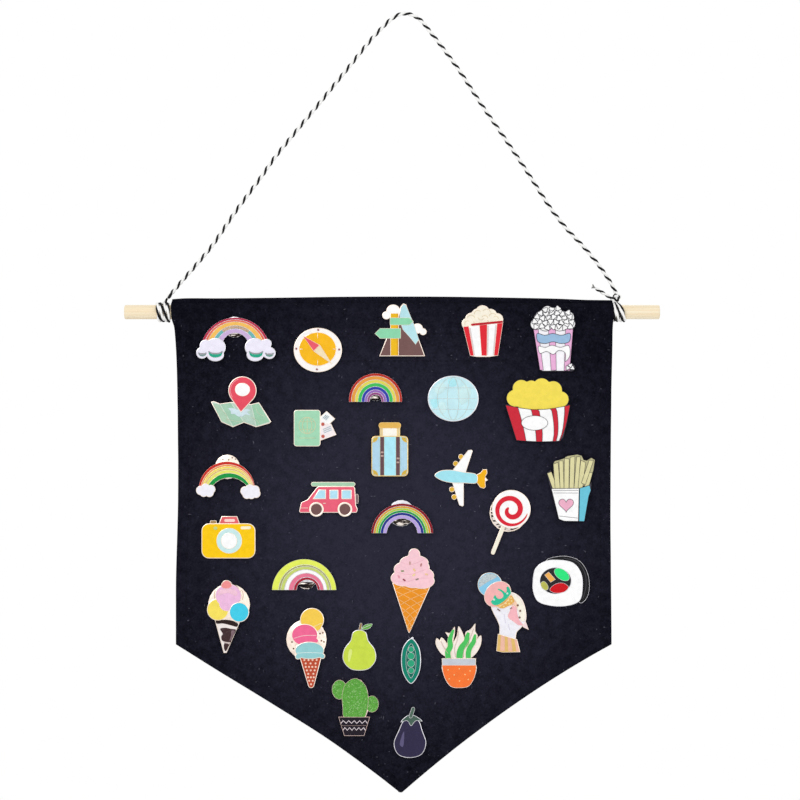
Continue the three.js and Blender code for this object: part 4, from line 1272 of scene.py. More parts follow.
def paint_suitcase(art):
    """Case with straps, corner guards and a handle that is drawn out."""
    art.cell(rounded_box(-5.5, 5, 5.9, 12.4, 0.3), (226, 208, 160), 0, 0.3)
    art.cell(rounded_box(-4.1, 4, 4.4, 12.2, 0.5), (252, 247, 236), 1, 0.3)
    art.cell(rounded_box(-6.1, 11.6, 6.4, 15, 1.6), (230, 182, 88), 2, 0.3)
    art.cell(rounded_box(-10.1, -15.2, 10.4, 7.4, 2.4), (176, 236, 250), 2, 0.5)
    art.wash(rounded_box(-9.5, -14.6, -5.4, 6.8, 1.9), (180, 218, 238), 2)
    art.wash(rounded_box(6.0, -14.6, 9.8, 6.8, 1.9), (180, 218, 238), 2)
    for left in (-5.2, 3.6):
        art.cell(rounded_box(left - 0.1, -14.8, left + 2.3, 7.0, 0.2), (104, 76, 82), 3, 0.1)
    for u, v, start in ((-10.1, -15.2, 0), (10.4, -15.2, 90), (10.4, 7.4, 180), (-10.1, 7.4, 270)):
        inward = np.array([1 if u < 0 else -1, 1 if v < 0 else -1])
        corner = np.array([u, v]) + 0.5 * inward
        guard = np.concatenate([arc(*corner, 3.3, start, start + 90, 9), [corner + 0.55 * inward]])
        art.cell(guard, (214, 182, 76), 4, 0.2)
    for u, v in ((-4.1, -1.8), (-4.1, -3.8), (4.7, -5.2), (4.7, -7.4)):
        art.wash(rounded_box(u - 0.8, v - 0.5, u + 0.8, v + 0.5, 0.4), (190, 160, 152), 5)


def paint_airplane(art):
    """Wings, tail and engines behind one smooth body."""
    for u, v in ((0, 11.6), (-3, 7.8), (-5.1, -6.6), (-3.8, -10.8)):
        art.cell(oval(u, v, 1.6), (224, 178, 58), 0, 0.3)
    art.cell([(-5.3, 3.5), (2.6, 2.6), (6.5, 14.8), (6, 15.6), (3.9, 15.4)], WHITE, 1, 0.3)
    art.cell([(-1.1, -15.4), (0.8, -16.2), (1.6, -15.6), (1.6, -2), (-5.2, -2)], WHITE, 1, 0.3)
    tail = [
        (8.4, 1.4), (8.6, -2.6), (10.6, -5.6), (12.8, -6.2), (13.8, -5.2), (13.6, -2.3), (15.2, -1.4),
        (13.6, 0.4), (14.7, 2.4), (14.5, 4.7), (12.2, 4.7), (11, 3),
    ]
    art.cell(tail, (244, 182, 24), 1, 0.3)
    art.cell([(13.4, -2.2), (15.1, -1.4), (13.6, 0.4), (13.1, -0.8)], WHITE, 2, 0.2)
    body = [
        (-14.9, 1.3), (-12, -1.2), (-6, -2.9), (1.6, -3.1), (8.8, -2.9), (8.8, 1.7), (1.6, 3.2), (-6, 4.4),
        (-12, 3.7),
    ]
    art.cell(smooth(body), (164, 230, 243), 3, 0.35)


def paint_rainbow_fluffy(art):
    """Six nested arches that end in two clouds of round puffs."""
    # Dark spots on the back disc above the arches: painted reflections in the polished metal
    art.marks(
        [(-2.8, 9.6), (2.4, 10.6), (4.2, 9.8), (0.4, 9.4), (-4.4, 9.4)], 0.42, (116, 100, 84),
        BASE_LEVEL - 1,
    )
    colours = (
        (204, 46, 34), (238, 150, 62), (244, 224, 92), (222, 190, 72), (234, 232, 108), (26, 150, 68),
    )
    art.rainbow(
        colours, 0.08, -6.4, (-0.5, -7.2, 15.7), (1.1, -12.6, 12.1), (8.5, 6.8, 5.8, 4.6, 3.8, 2.1, -0.5),
    )
    left = [(-15, -7.6, 2.7), (-12.4, -6.4, 2.7), (-9.4, -7, 2.6), (-13.4, -9, 2.3), (-10.2, -8.9, 2.5)]
    right = [
        (9.7, -8, 2.7), (12.4, -6.8, 2.7), (15.2, -7.4, 2.7), (15.8, -9.4, 2.5), (10.7, -9.8, 2.6),
        (13.2, -10.1, 2.4),
    ]
    for middle, puffs in (((-12.2, -7.8), left), ((12.7, -8.4), right)):
        art.cell(lobes(middle, puffs), (243, 241, 250), 2, 0.3)


def paint_surf_van(art):
    """Van in one outline with windows and wheels, and a board on its roof."""
    art.cell(capsule((-8.5, 8.3), (13.8, 8.3), 1.3), (168, 210, 178), 0, 0.3)
    art.cell(capsule((15.9, -1.6), (15.9, 2), 1), (132, 110, 112), 0, 0.2)
    shell = [
        (-16.4, -6.8), (-15.8, -7.6), (15.5, -7.6), (16.1, -7), (16.3, -5.4), (15.4, -3.4), (14.9, 6),
        (14.2, 7.2), (-5.6, 7.2), (-6.6, 6.4), (-11.7, -0.2), (-15.2, -1.8),
    ]
    art.cell(shell, (236, 98, 122), 1, 0.45)
    glass = (182, 230, 248)
    art.cell([(-8.9, -0.1), (-1.3, 0), (-1.3, 5.4), (-5.3, 5.4)], glass, 2, 0.5)
    art.cell(rounded_box(0.5, -0.1, 5.6, 5.3, 0.5), glass, 2, 0.5)
    art.cell(rounded_box(7.2, -0.1, 13, 5.3, 0.6), glass, 2, 0.5)
    for u in (-6.7, 9.2):
        art.cell(oval(u, -5.7, 4.1), (116, 84, 82), 3, 1.0)
    art.line([(-3.0, -2.3), (-1.4, -2.3)], 0.4, 2)
    art.line([(-15.6, -4.9), (-11.4, -4.9)], 0.3, 2)


def paint_rainbow_wide(art):
    """Six nested arches over a disc with painted reflections."""
    art.dish(-0.4, 1.9, 7.2, 190, 350)
    colours = ((138, 22, 34), (222, 162, 48), (176, 210, 60), (30, 154, 76), (30, 46, 138), (186, 164, 226))
    art.rainbow(colours, 0.05, -9.2, (0.1, -10, 17.4), (0, -9.6, 8.6), (7.4, 6.0, 4.8, 3.6, 2.3, 0.8, -1.0))


def paint_lollipop(art):
    """Stick and disc; the red band winds outwards, its radius easing with the turn."""
    # Back disc with painted reflections: dark with bright streaks
    art.dish(-0.6, 5.2, 10.1)
    art.cell(capsule((-3.4, -2), (-9.3, -16.9), 1.2), (246, 242, 224), 0, 0.3)
    art.cell(oval(0.9, 7.3, 10.8), WHITE, 1, 0.35)
    share = np.linspace(0, 1, 110)
    grown, loose = np.clip(share / 0.72, 0, 1), np.clip((share - 0.72) / 0.28, 0, 1)
    radius = 1.9 + 5.6 * grown**2 * (3 - 2 * grown) + 1.9 * loose**2
    angle = np.radians(120 + 590 * share)
    path = np.array([0.6, 6.6]) + radius[:, None] * np.stack([np.cos(angle), np.sin(angle)], 1)
    half = 0.3 + 1.3 * np.sin(np.pi * share**0.8) ** 0.6
    art.cell(ribbon(path, half[:, None]), (220, 36, 56), 2, 0.14)


def paint_fries(art):
    """Leaning sticks in a folded box with a heart (16 sin cubed t across)."""
    fry, shade = (224, 218, 166), (196, 190, 146)
    heap = [
        (-9.5, 0), (10.4, 1), (11.8, 6), (12.8, 9.6), (13.7, 15.6), (11.4, 16.9), (9, 15.3), (7.4, 15.6),
        (6.2, 18), (3.6, 18.7), (-2, 17.8), (-4.6, 16.2), (-9, 15), (-10, 13.4),
    ]
    art.cell(heap, shade, 0, 0.24)
    sticks = (
        ((-12, 8.6), (-7.6, -4)), ((-8.4, 13.8), (-7.2, -2)), ((-5.4, 15.2), (-4.8, -2)),
        ((-2.2, 16.4), (-2.4, -2)), ((1, 17.4), (0.4, -2)), ((4.4, 17.4), (2.8, -2)), ((7, 14.8), (5, -2)),
        ((11.5, 15.4), (7, 2)), ((11, 8.6), (8.2, -2)),
    )
    for index, (top, foot) in enumerate(sticks):
        lean = unit(np.array(top, float) - foot)
        side = np.array([-lean[1], lean[0]]) * (1.4 + 0.15 * np.sin(2.3 * index))
        cut = 0.5 * np.sin(1.9 * index) * lean
        stick = [foot + side, top + side - cut, top - side + cut, foot - side]
        art.cell(stick, fry, 1 + index % 2, 0.2)
    front = [(-6.9, -17.4), (4.4, -18.9), (4.8, -0.2), (-11, -0.4)]
    art.cell([(-6.8, -17.6), (-3.6, -18.8), (4.4, -18.9), (4.8, -0.2), (-11, -0.4)], WHITE, 4, 0.26)
    art.cell(
        [(4.4, -18.9), (7.7, -19), (10.1, -5), (11.4, -1.4), (10.6, 1.6), (4.8, -0.2)], (108, 198, 220), 4,
        0.26,
    )
    for t in (0.93, 0.85, 0.1):
        art.line([within(front, 0.06, t), within(front, 0.96, t)], 0.2, 4)
    turn = np.arange(36) / 36 * FULL_TURN
    heart_v = 13 * np.cos(turn) - 5 * np.cos(2 * turn) - 2 * np.cos(3 * turn) - np.cos(4 * turn)
    heart = np.stack([16 * np.sin(turn) ** 3, heart_v], 1) * 0.27 + (-2.6, -9.4)
    art.cell(heart, (240, 178, 202), 5, 0.24)


def paint_camera(art):
    """Rounded body with a ringed lens, a raised finder and two small windows."""
    art.cell(rounded_box(-10, 6, -6.2, 9.5, 0.8), (170, 136, 88), 0, 0.3)
    art.cell([(-5.3, 7), (6.9, 7), (5.2, 11.8), (-3.5, 11.8)], (230, 104, 110), 0, 0.4)
    art.cell(capsule((-1.2, 9.4), (3.2, 9.4), 0.9), (255, 216, 210), 1, 0.2)
    art.cell(rounded_box(-14.7, -11.8, 15.4, 7.8, 4.2), (252, 204, 10), 2, 0.4)
    art.cell(oval(0.8, -1.9, 7.2), (204, 236, 236), 3, 0.3)
    art.cell(oval(0.7, -2, 4.6), WHITE, 4, 0.3)
    art.cell(capsule((8, 5.3), (12, 5.4), 0.95), (252, 245, 208), 3, 0.2)
    art.wash(oval(-6.9, 5.1, 1.1, 0.9), (200, 216, 140), 3)


def paint_rainbow_lime(art):
    """Six nested arches over a disc with painted reflections."""
    art.dish(1.4, -3, 5.15, 190, 350)
    colours = ((230, 241, 96), (168, 170, 66), (200, 214, 116), WHITE, (232, 122, 150), (166, 30, 52))
    art.rainbow(
        colours, 0.1, -8.5, (0.2, -9.2, 18), (1.9, -8.6, 5.8), (8.8, 5.6, 4.7, 2.9, 1.0, -1.3, -2.8),
    )


def paint_soft_serve(art):
    """Cone crossed by two sets of slanting lines, swirled cream and sprinkles."""
    cone = [(-2.1, -23.7), (-1.3, -23.7), (10.7, 3.2), (-11.1, 4.2)]
    art.cell(cone, (236, 148, 34), 0, 0.4)
    share = np.linspace(0.04, 0.96, 24)
    for start in np.arange(-0.1, 0.9, 0.16):
        rise = start + 0.3 * share
        drawn = (rise > 0.05) & (rise < 0.98)
        for across in (share[drawn], 1 - share[drawn]):
            art.line([within(cone, s, t) for s, t in zip(across, rise[drawn])], 0.34, 1, (250, 196, 122))
    swirl = [
        (1.2, 20.2, 3.3), (1.1, 15.6, 8.1, 4.2), (-3.4, 11.8, 6.9, 4.4), (5, 12.6, 4.8, 4.2),
        (6.6, 8.2, 5.7, 4.4), (-4.6, 6.8, 7.4, 4.6), (5.6, 5.2, 7, 4.4), (0.6, 4.8, 6, 3.6),
    ]
    art.cell(lobes((0.4, 9.5), swirl), (250, 204, 214), 2, 0.35)
    folds = (
        [(-6, 15.6), (-1, 14.4), (6.4, 17)], [(-9, 10.4), (-2, 8.8), (8.6, 12)],
        [(-11, 5.4), (-3, 4.8), (3, 6.6), (11, 7)],
    )
    art.strokes(folds, 0.2, 2, (240, 190, 202))
    sprinkles = (
        ((-5.4, 10.8), (140, 150, 110)), ((1.2, 11.4), (240, 206, 140)), ((5, 14.2), (190, 130, 130)),
        ((2.8, 6.2), (150, 130, 122)), ((-4.4, 5.8), (150, 66, 80)), ((-1.2, 15.2), (200, 160, 150)),
        ((1, 8.6), (250, 226, 160)), ((8, 9), (244, 206, 160)), ((-7.4, 7.6), (236, 160, 178)),
    )
    for index, ((u, v), colour) in enumerate(sprinkles):
        lean = np.array([np.cos(2.2 * index), np.sin(2.2 * index)]) * 0.5
        art.wash(capsule(np.array([u, v]) - lean, np.array([u, v]) + lean, 0.42), colour, 3)


def paint_sushi(art):
    """Dark wrap behind a rice roll with four fillings."""
    wrap = [
        (-8, 12), (6, -4), (11.4, -11.8), (15.2, -8.4), (16.5, -1), (14.8, 6.8), (11, 12), (5, 14.5),
        (-2, 14.5),
    ]
    art.cell(smooth(wrap), (20, 20, 24), 0, 0.26)
    # Grey line along the inner edge of the dark wrap: a painted highlight
    art.line(through([(2, 13.6), (9.6, 11.4), (13.8, 5), (14.4, -2), (12.8, -9)], 8), 0.4, 1, (66, 66, 72))
    rice = [
        (-15.4, 0), (-15.2, -5), (-12.6, -10.6), (-5, -13.2), (4, -13.2), (10.8, -10.4), (12.6, -3),
        (11.8, 5), (7.6, 10.8), (0, 12.6), (-8, 12), (-13.8, 8),
    ]
    art.cell(smooth(rice), WHITE, 2, 0.3)
    art.cell(oval(-2.6, 0.9, 8.9, 7.5), (40, 36, 38), 3, 0.25)
    art.cell([(-9, 4.2), (-5.4, -0.2), (-2.4, 1.6), (-6.4, 6)], (242, 178, 86), 4, 0.22)
    art.cell(oval(0.9, 4.4, 5.0, 2.9, -0.62), (46, 232, 128), 4, 0.22)
    art.cell(
        smooth([(-6, -4.2), (-3.2, -1), (1.6, -0.2), (4.8, -2.6), (2.4, -5.4), (-3.2, -6)]), (206, 14, 26),
        4, 0.22,
    )
    art.cell(
        smooth([(-11, -0.4), (-9.2, 0.8), (-7, -1.2), (-6.6, -3.6), (-8.2, -4.6), (-10.4, -3)]),
        (188, 188, 88), 4, 0.22,
    )


def paint_two_scoop_cone(art):
    """Sleeve and open hand that hold a wafer with two tilted scoops and drips."""
    hand = [
        (-6.4, 4), (-5.4, 0), (-3.2, -4.2), (-1.8, -8), (-1.3, -15), (6.6, -16.4), (7.9, -11.2),
        (10.4, -8.6), (13, -4.6), (13.2, -0.8), (11.8, 5.4), (9.2, 9.2), (4.4, 11.4), (-1, 8),
    ]
    art.cell([(9, -5), (11.4, -8.3), (14.8, -10), (12.6, -4)], (250, 224, 226), -0.6, 0.3)
    art.cell(smooth(hand), (242, 240, 248), 0, 0.35)
    wafer = [
        (4.2, 10.6), (8.4, 9), (11.2, 5.4), (12.6, 0), (12.4, -4.2), (11, -5.2), (9.4, -3), (8.6, 1),
        (7, 3.4), (3, 6),
    ]
    art.cell(smooth(wafer), (250, 244, 228), 0.6, 0.14)
    art.wash(smooth([(4, 4), (6.8, 3.8), (8.2, 2.4), (8, 5), (6.6, 7), (5, 6)]), (248, 208, 182), 0.6)
    front = [
        (5.4, 3.8), (7.6, 3), (8.4, -1), (9.5, -4.4), (11.4, -7), (9, -7.2), (6, -5.2), (2.9, -2.5),
        (3.9, 0.8),
    ]
    art.cell(smooth(front), (248, 184, 192), 1.2, 0.1)
    art.marks([(8.4, 4), (9.8, 0.9), (9.5, -2.8)], 0.55, (120, 84, 70), 3)
    for start, end in (((-3, 2), (-1.4, 0.8)), ((4.2, 2), (5.2, 2.7))):
        art.line([start, end], 0.5, 3, (120, 84, 70))
    for start, end in (((0.8, -1), (1.6, -6)), ((3.2, -6.6), (4, -10))):
        art.line([start, end], 0.24, 1, (222, 218, 236))
    sleeve = [(-3.6, -21.6), (9.9, -22.2), (8.1, -15), (-2.7, -11.8)]
    art.cell([(-2.7, -11.8), (-3.6, -21.6), (0, -22.4), (9.9, -22.2), (8.1, -15)], (226, 188, 110), 1, 0.3)
    for start, end in ((0.16, 0.36), (0.5, 0.68), (0.84, 0.98)):
        art.wash(stripe(sleeve, start, end, 0.03, 0.95), (242, 190, 166), 1)
    art.cell(oval(-7.1, 15.5, 6.9), (140, 204, 236), 1, 0.3)
    dust_edge = through([(-11.6, 14.8), (-8.2, 17), (-4.4, 19)], 5)
    dust = np.concatenate([arc(-7.1, 15.5, 6.2, 46, 196, 24), dust_edge])
    art.wash(dust, (194, 208, 214), 1, GLITTER_FACE)
    art.cell(oval(-2.8, 10.2, 8.2, 6.6, 0.7), (246, 182, 180), 3, 0.3)
    crumbs = [
        (-4.4, 4.6), (-2, 2.5), (0.4, 2.2), (3, 3.4), (5.4, 4.6), (6.7, 6.3), (6, 8.4), (4.6, 9.8),
        (0.4, 8),
    ]
    art.cell(smooth(crumbs), (232, 178, 92), 3.5, 0.12)
    specks = [(-1.4, 3.6), (0.6, 3.4), (1.8, 5), (3.6, 4.8), (3.2, 6.8), (5, 6.4), (4.8, 8)]
    art.marks(specks, 0.5, (250, 222, 150), 3.5)
    drip = [
        (-6.6, 6.4), (-5.4, 7.4), (-5, 9), (-4.2, 9.9), (-3.4, 8.8), (-2.6, 7.9), (-1.2, 7.8), (0, 8.6),
        (0.2, 10), (-0.8, 11.4), (-2.6, 12.6), (-2.8, 13.4), (-1, 13), (0.6, 12), (1.6, 11.2), (2.2, 12.4),
        (2, 14), (3, 14.6), (4.2, 13), (4.7, 10.8), (3.2, 8.6), (1.6, 7), (-0.4, 5.4), (-2.4, 4.2),
        (-4.6, 4), (-6, 4.8),
    ]
    art.cell(smooth(drip), (48, 194, 152), 4.4, 0.08)
    art.marks([(-4.8, 7.2), (2.6, 10.6)], 0.6, (206, 236, 222), 5)


def paint_gold_cone(art):
    """Three scoops on a round plate, over a polished cone with its painted dark reflections and painted
    highlight, and a painted shadow under the scoops.
    """
    for knots in ([(-7.5, 9.4), (-7.9, 12), (-7.3, 14.2)], [(8, 9), (8.3, 12), (7.4, 14.4)]):
        art.line(through(knots, 5), 0.4, BASE_LEVEL - 1, (218, 184, 158))
    art.cell([(-2.5, -20.7), (-0.8, -20.7), (6.6, -3.6), (-7.8, -1)], (240, 232, 228), 0, 0.3)
    shadow_under_scoops = [(-6.9, -2.6), (2, -2.6), (5.5, -4.4), (5, -6), (1.4, -5.2), (-3, -4.2), (-6.5, -4.2)]
    shade = [
        (-4.4, -7.2), (-1.6, -6.6), (1.6, -7.2), (4.4, -7.8), (3, -11.2), (1.9, -13.8), (0.3, -17),
        (-1.2, -19.6), (-1.9, -19.2), (-2.4, -16.4), (-2, -14.6), (-3.4, -13.6), (-3.8, -11.4), (-3, -10),
    ]
    sheen = [(1.9, -8.2), (3.9, -8.4), (2.7, -11.2), (1.6, -13.4), (0.8, -14), (1.6, -11)]
    gleam = [(-2.6, -14.2), (-1, -14.5), (1.2, -14.8), (0.5, -15.8), (-0.4, -15.4), (-2, -15.1)]
    # Painted light on the cone: the shadow under the scoops, dark reflections (shade, sheen) and a
    # highlight (gleam)
    art.wash(smooth(shadow_under_scoops), (40, 24, 22), 0)
    art.wash(smooth(shade), (62, 38, 40), 0)
    art.wash(smooth(sheen), (126, 102, 110), 0.4)
    art.wash(smooth(gleam), (206, 190, 186), 0.4)
    art.cell(oval(-5.7, 3.5, 6.1), (248, 226, 96), 1, 0.35)
    scoop = [(0.2, 11.4, 7.3, 6.6), (-0.4, 6.4, 4.6, 3.8), (-0.8, 16.8, 3.2)]
    art.cell(lobes((0, 10), scoop), (240, 190, 226), 2, 0.3)
    art.cell(
        smooth([(-3.9, 16.6), (-2.6, 15.4), (0.6, 15.4), (2.2, 16.8), (1, 19), (-0.8, 19.9), (-2.8, 18.9)]),
        (242, 146, 146), 3, 0.16,
    )
    art.wash(
        smooth([(-5.8, 11.6), (-4.6, 14.4), (-1.4, 15), (2.8, 15), (5.2, 13), (4.6, 11.2), (0, 12.8)]),
        (245, 200, 218), 2,
    )
    art.cell(oval(6.2, 2.1, 5.6), (66, 206, 234), 3, 0.45)


def paint_scoop_stack(art):
    """Three scoops with skirts on a spotted cone, over a round plate."""
    specks = [(-8.1, 2.9), (-7.2, -0.8), (7.6, 7.6), (9.2, 8), (8.4, 3.6), (9.8, 3)]
    art.marks(specks, 0.5, (128, 98, 74), BASE_LEVEL - 1)
    cone = [(1.3, -22.4), (4.1, -22.4), (8.8, -4), (-4.2, -4)]
    wafer = np.concatenate([arc(2.7, -20.9, 1.8, 194, 346, 9), [(8.9, -4), (-4.2, -4)]])
    art.cell(wafer, (190, 78, 50), 0, 0.45)
    for row, count in enumerate((4, 3, 4, 3, 2, 3, 2, 1)):
        for column in range(count):
            place = within(cone, 0.1 + 0.8 * (column + 0.5) / count, 0.84 - 0.105 * row)
            art.wash(oval(*place, 0.56), (250, 208, 186), 1)
    art.cell(lobes((3, 14), [(3.2, 15.4, 6.7), (2.4, 11.4, 6.2, 3.2)]), (248, 206, 80), 1, 0.45)
    art.strokes([[(-3.0, 12.9), (2.6, 11.4), (8.6, 13.6)]], 0.34, 1, (253, 232, 176))
    art.cell(lobes((-0.9, 6.4), [(-0.9, 7, 7.4, 6.2), (0.4, 3.8, 6.8, 2.4)]), (242, 106, 150), 2, 0.45)
    art.strokes([[(-7, 5.1), (-1.5, 6.6), (5.6, 6.8)]], 0.34, 2, (250, 206, 208))
    art.cell(
        lobes((2.2, -2), [(1.8, -1.6, 8.2, 4.9), (2, -4.2, 7, 2.3), (9, -4.8, 1.6), (-4.6, -5, 1.7)]),
        (150, 208, 212), 3, 0.45,
    )
    art.strokes([[(-5.4, -3.1), (1.6, -2.8), (8.8, -3.1)]], 0.34, 3, (222, 240, 236))


def paint_pear(art):
    """Pear with a gleam, its stalk and a leaf."""
    art.cell(capsule((0, 8.6), (0.9, 12.6), 0.8), (150, 120, 70), 0, 0.2)
    half = [(0, 9.6), (-3.6, 8.2), (-5, 3.6), (-8.6, -1.4), (-9.2, -7.4), (-5.4, -12.2), (0, -13.3)]
    art.cell(smooth(half + [(-u, v) for u, v in half[-2:0:-1]]), (202, 222, 74), 1, 0.4)
    art.wash(
        smooth([(-6.4, -6), (-5.4, -1.4), (-4.2, -1.6), (-4.8, -6.4), (-5.8, -8.6)]), (224, 238, 130), 1,
    )
    art.cell(smooth([(0.8, 9.8), (5.4, 10), (7.4, 12.8), (3, 12.4)]), (108, 176, 74), 2, 0.25)
    art.line([(1.4, 10.2), (6.2, 12.2)], 0.2, 3)


def paint_pea_pod(art):
    """Open pod with four peas."""
    half = [(0.3, 12.4), (-4.2, 8), (-5.6, 0), (-4.2, -8), (0, -13.1)]
    art.cell(smooth(half + [(4.2, -8), (5.6, 0), (4.2, 8)]), (6, 128, 104), 0, 0.5)
    art.cell(
        smooth([(0.1, 9.6), (-2.4, 5.4), (-3, 0), (-2.4, -5.6), (0, -10), (2.4, -5.6), (3, 0), (2.4, 5.4)]),
        (14, 104, 88), 1, 0.25,
    )
    for v, size in ((6.2, 1.7), (2.5, 2.1), (-1.6, 2.2), (-5.6, 1.8)):
        art.cell(oval(0, v, size), (44, 164, 122), 2, 0.2)


def paint_succulent(art):
    """Long wavy leaves in a pot with dots."""
    leaves = (
        [(-3, -2), (-5.6, 3), (-6.4, 6.4), (-9.3, 9.6), (-9.9, 7.9), (-12, 9.5), (-12.6, 6.6), (-9.2, 0.6)],
        [(3, -2), (6, -2), (10, 1), (12.9, 6.6), (12.7, 11.3), (9.2, 8), (5.4, 5)],
        [
            (-6, -2), (-2, -2), (-2.6, 8), (-1.8, 12), (-2, 16.2), (-4.6, 12.6), (-7.2, 13), (-5.6, 10),
            (-6.4, 6),
        ],
        [
            (0, -2), (5, -2), (6.8, 5), (11, 10.6), (9.6, 13.6), (9.6, 17.9), (6.8, 14.6), (4.2, 13.2),
            (3.4, 9), (0.6, 4),
        ],
        [(-3, -2), (1, -2), (0.8, 4), (3.4, 8), (2.6, 12.6), (0.2, 16.4), (-0.8, 11), (-3.2, 6)],
    )
    for outline, level in zip(leaves, (0, 0.4, 0.8, 1.3, 2)):
        art.cell(smooth(outline), (248, 238, 230), level, 0.26)
    veins = (
        [(-5.6, 1), (-8, 4.6), (-9.6, 7.8)], [(-1.4, -1), (-2, 4), (-0.4, 9), (0.2, 13.6)],
        [(3, -1), (3.2, 3), (6.4, 9), (8.6, 15)],
    )
    art.strokes(veins, 0.24, 3, (206, 178, 166))
    greens = (
        ([(-5.5, -1.6), (-5.8, 2), (-4.4, 5), (-4.6, 8.4), (-4, 11), (-2.5, 14.6)], 1.5),
        ([(0.7, -1.6), (1, 1.6), (2.2, 4.6), (4.5, 7.6), (5, 10.4), (5.9, 13)], 1.8),
        ([(5.6, -1.6), (5.8, 2.4), (7, 5.2), (8.6, 7.6), (9, 9.4), (9.6, 12)], 1.4),
    )
    for knots, half in greens:
        path = through(knots, 7)
        share = np.linspace(0, 1, len(path))
        width = 0.2 + half * np.sin(np.pi * (0.4 + 0.59 * share)) ** 0.4
        art.cell(ribbon(path, width[:, None]), (78, 196, 96), 3, 0.14)
    pot = [
        (-9, -5), (-9, -6.8), (-8.4, -10.4), (-6.9, -14), (-4.4, -17.2), (-2.2, -18.1), (1, -18.2),
        (4.2, -17.9), (6.2, -17), (8.4, -14), (9.8, -10), (10.2, -6.8), (9.9, -5),
    ]
    art.cell(smooth(pot), (248, 120, 52), 3, 0.3)
    art.cell([(-9, -5.6), (9.8, -5.6), (10, -1.5), (-9.2, -1.5)], (200, 206, 214), 4, 0.3)
    dots = [
        (-5.6, -8), (0.6, -7.4), (6.6, -8.6), (-2.2, -10.8), (3.8, -10.6), (-5, -13), (0.8, -14.2),
        (5.6, -13.4),
    ]
    art.marks(dots, 0.42, (252, 196, 130), 4)


def paint_cactus(art):
    """Glittering trunk with two arms in a dark pot with zigzags."""
    green = (92, 168, 60)
    art.cell(oval(-8.6, 9.7, 4.3, 5.5), green, 0, 0.18, GLITTER_FACE)
    art.cell(oval(9.5, 1.7, 3.8, 4.7), green, 0, 0.18, GLITTER_FACE)
    trunk = [
        (-6.2, -5.8), (0, -6.2), (5.3, -5.8), (7, -1), (7.5, 6), (5.5, 12.8), (0.2, 16.1), (-5.3, 13),
        (-7.3, 6), (-6.9, 0),
    ]
    art.cell(smooth(trunk), green, 1, 0.18, GLITTER_FACE)
    pot = [(-6, -16.1), (5.2, -16.1), (8.5, -5.4), (-9.3, -5.4)]
    art.cell(pot, (28, 19, 32), 2, 0.25)
    for t in (0.36, 0.72):
        shares = np.linspace(0.03, 0.97, 11)
        zigzag = [within(pot, s, t + (0.08 if index % 2 else -0.06)) for index, s in enumerate(shares)]
        art.line(zigzag, 0.45, 3, (238, 226, 232))
    art.line([within(pot, 0.04, 0.54), within(pot, 0.96, 0.54)], 0.16, 3)


def paint_aubergine(art):
    """Smooth body with a gleam under its cap and stalk."""
    body = [
        (1.4, 9), (-3, 7.4), (-6.4, 1), (-9.1, -6.4), (-6.6, -12.4), (0, -14.2), (6.6, -12.2), (9.1, -6),
        (7, 1), (5, 6.6),
    ]
    art.cell(smooth(body), (46, 40, 70), 0, 0.4)
    art.wash(smooth([(-5.6, -7), (-4.6, -2), (-3.4, 0.6), (-3.2, -2.6), (-4, -8)]), (92, 86, 122), 0)
    art.cell(
        smooth([(2, 9.8), (-1.4, 9.6), (-5.4, 5.6), (-1.6, 6.4), (0.6, 3.6), (3.4, 6.4), (7.2, 6.2)]),
        (70, 96, 84), 1, 0.3,
    )
    art.cell(capsule((0.4, 9), (1.8, 13.2), 1.1), (78, 104, 88), 2, 0.25)


# Each badge: its post from its middle, its plating and its painter
BADGES = {
    "rainbow_clouds": ((-12.5, -5.5), SILVER, paint_rainbow_clouds),
    "compass": ((0, 0), PALE_GOLD, paint_compass),
    "mountain_signpost": ((2, -5), PALE_GOLD, paint_mountain_signpost),
    "popcorn_box": ((0, -5), PALE_GOLD, paint_popcorn_box),
    "popcorn_cup": ((0, -1), BLACK_NICKEL, paint_popcorn_cup),
    "map_pin": ((0.4, -3), PALE_GOLD, paint_map_pin),
    "rainbow_small": ((0, -1.5), SILVER, paint_rainbow_small),
    "globe": ((0, 0), SILVER, paint_globe),
    "popcorn_bucket": ((0, -2), BLACK_NICKEL, paint_popcorn_bucket),
    "passport": ((-3, 0), PALE_GOLD, paint_passport),
    "suitcase": ((0, -3), GOLD, paint_suitcase),
    "airplane": ((-1.5, 0.8), PALE_GOLD, paint_airplane),
    "rainbow_fluffy": ((0, 5.2), PALE_GOLD, paint_rainbow_fluffy),
    "surf_van": ((1, -2), PALE_GOLD, paint_surf_van),
    "rainbow_wide": ((-0.5, 1.8), SILVER, paint_rainbow_wide),
    "lollipop": ((-0.6, 6), PALE_GOLD, paint_lollipop),
    "fries": ((-1, -3), BLACK_NICKEL, paint_fries),
    "camera": ((0, -2), PALE_GOLD, paint_camera),
    "rainbow_lime": ((1, -0.6), SILVER, paint_rainbow_lime),
    "soft_serve": ((-0.5, 5), PALE_GOLD, paint_soft_serve),
    "sushi": ((0, -1), SILVER, paint_sushi),
    "two_scoop_cone": ((2, 4), PALE_GOLD, paint_two_scoop_cone),
    "gold_cone": ((0, 6.4), PALE_GOLD, paint_gold_cone),
    "scoop_stack": ((0.2, 4.3), PALE_GOLD, paint_scoop_stack),
    "pear": ((0, -4), SILVER, paint_pear),
    "pea_pod": ((0, 0), SILVER, paint_pea_pod),
    "succulent": ((0.3, -8), PALE_GOLD, paint_succulent),
    "cactus": ((0, 2), ROSE, paint_cactus),
    "aubergine": ((0, -3), SILVER, paint_aubergine),
}


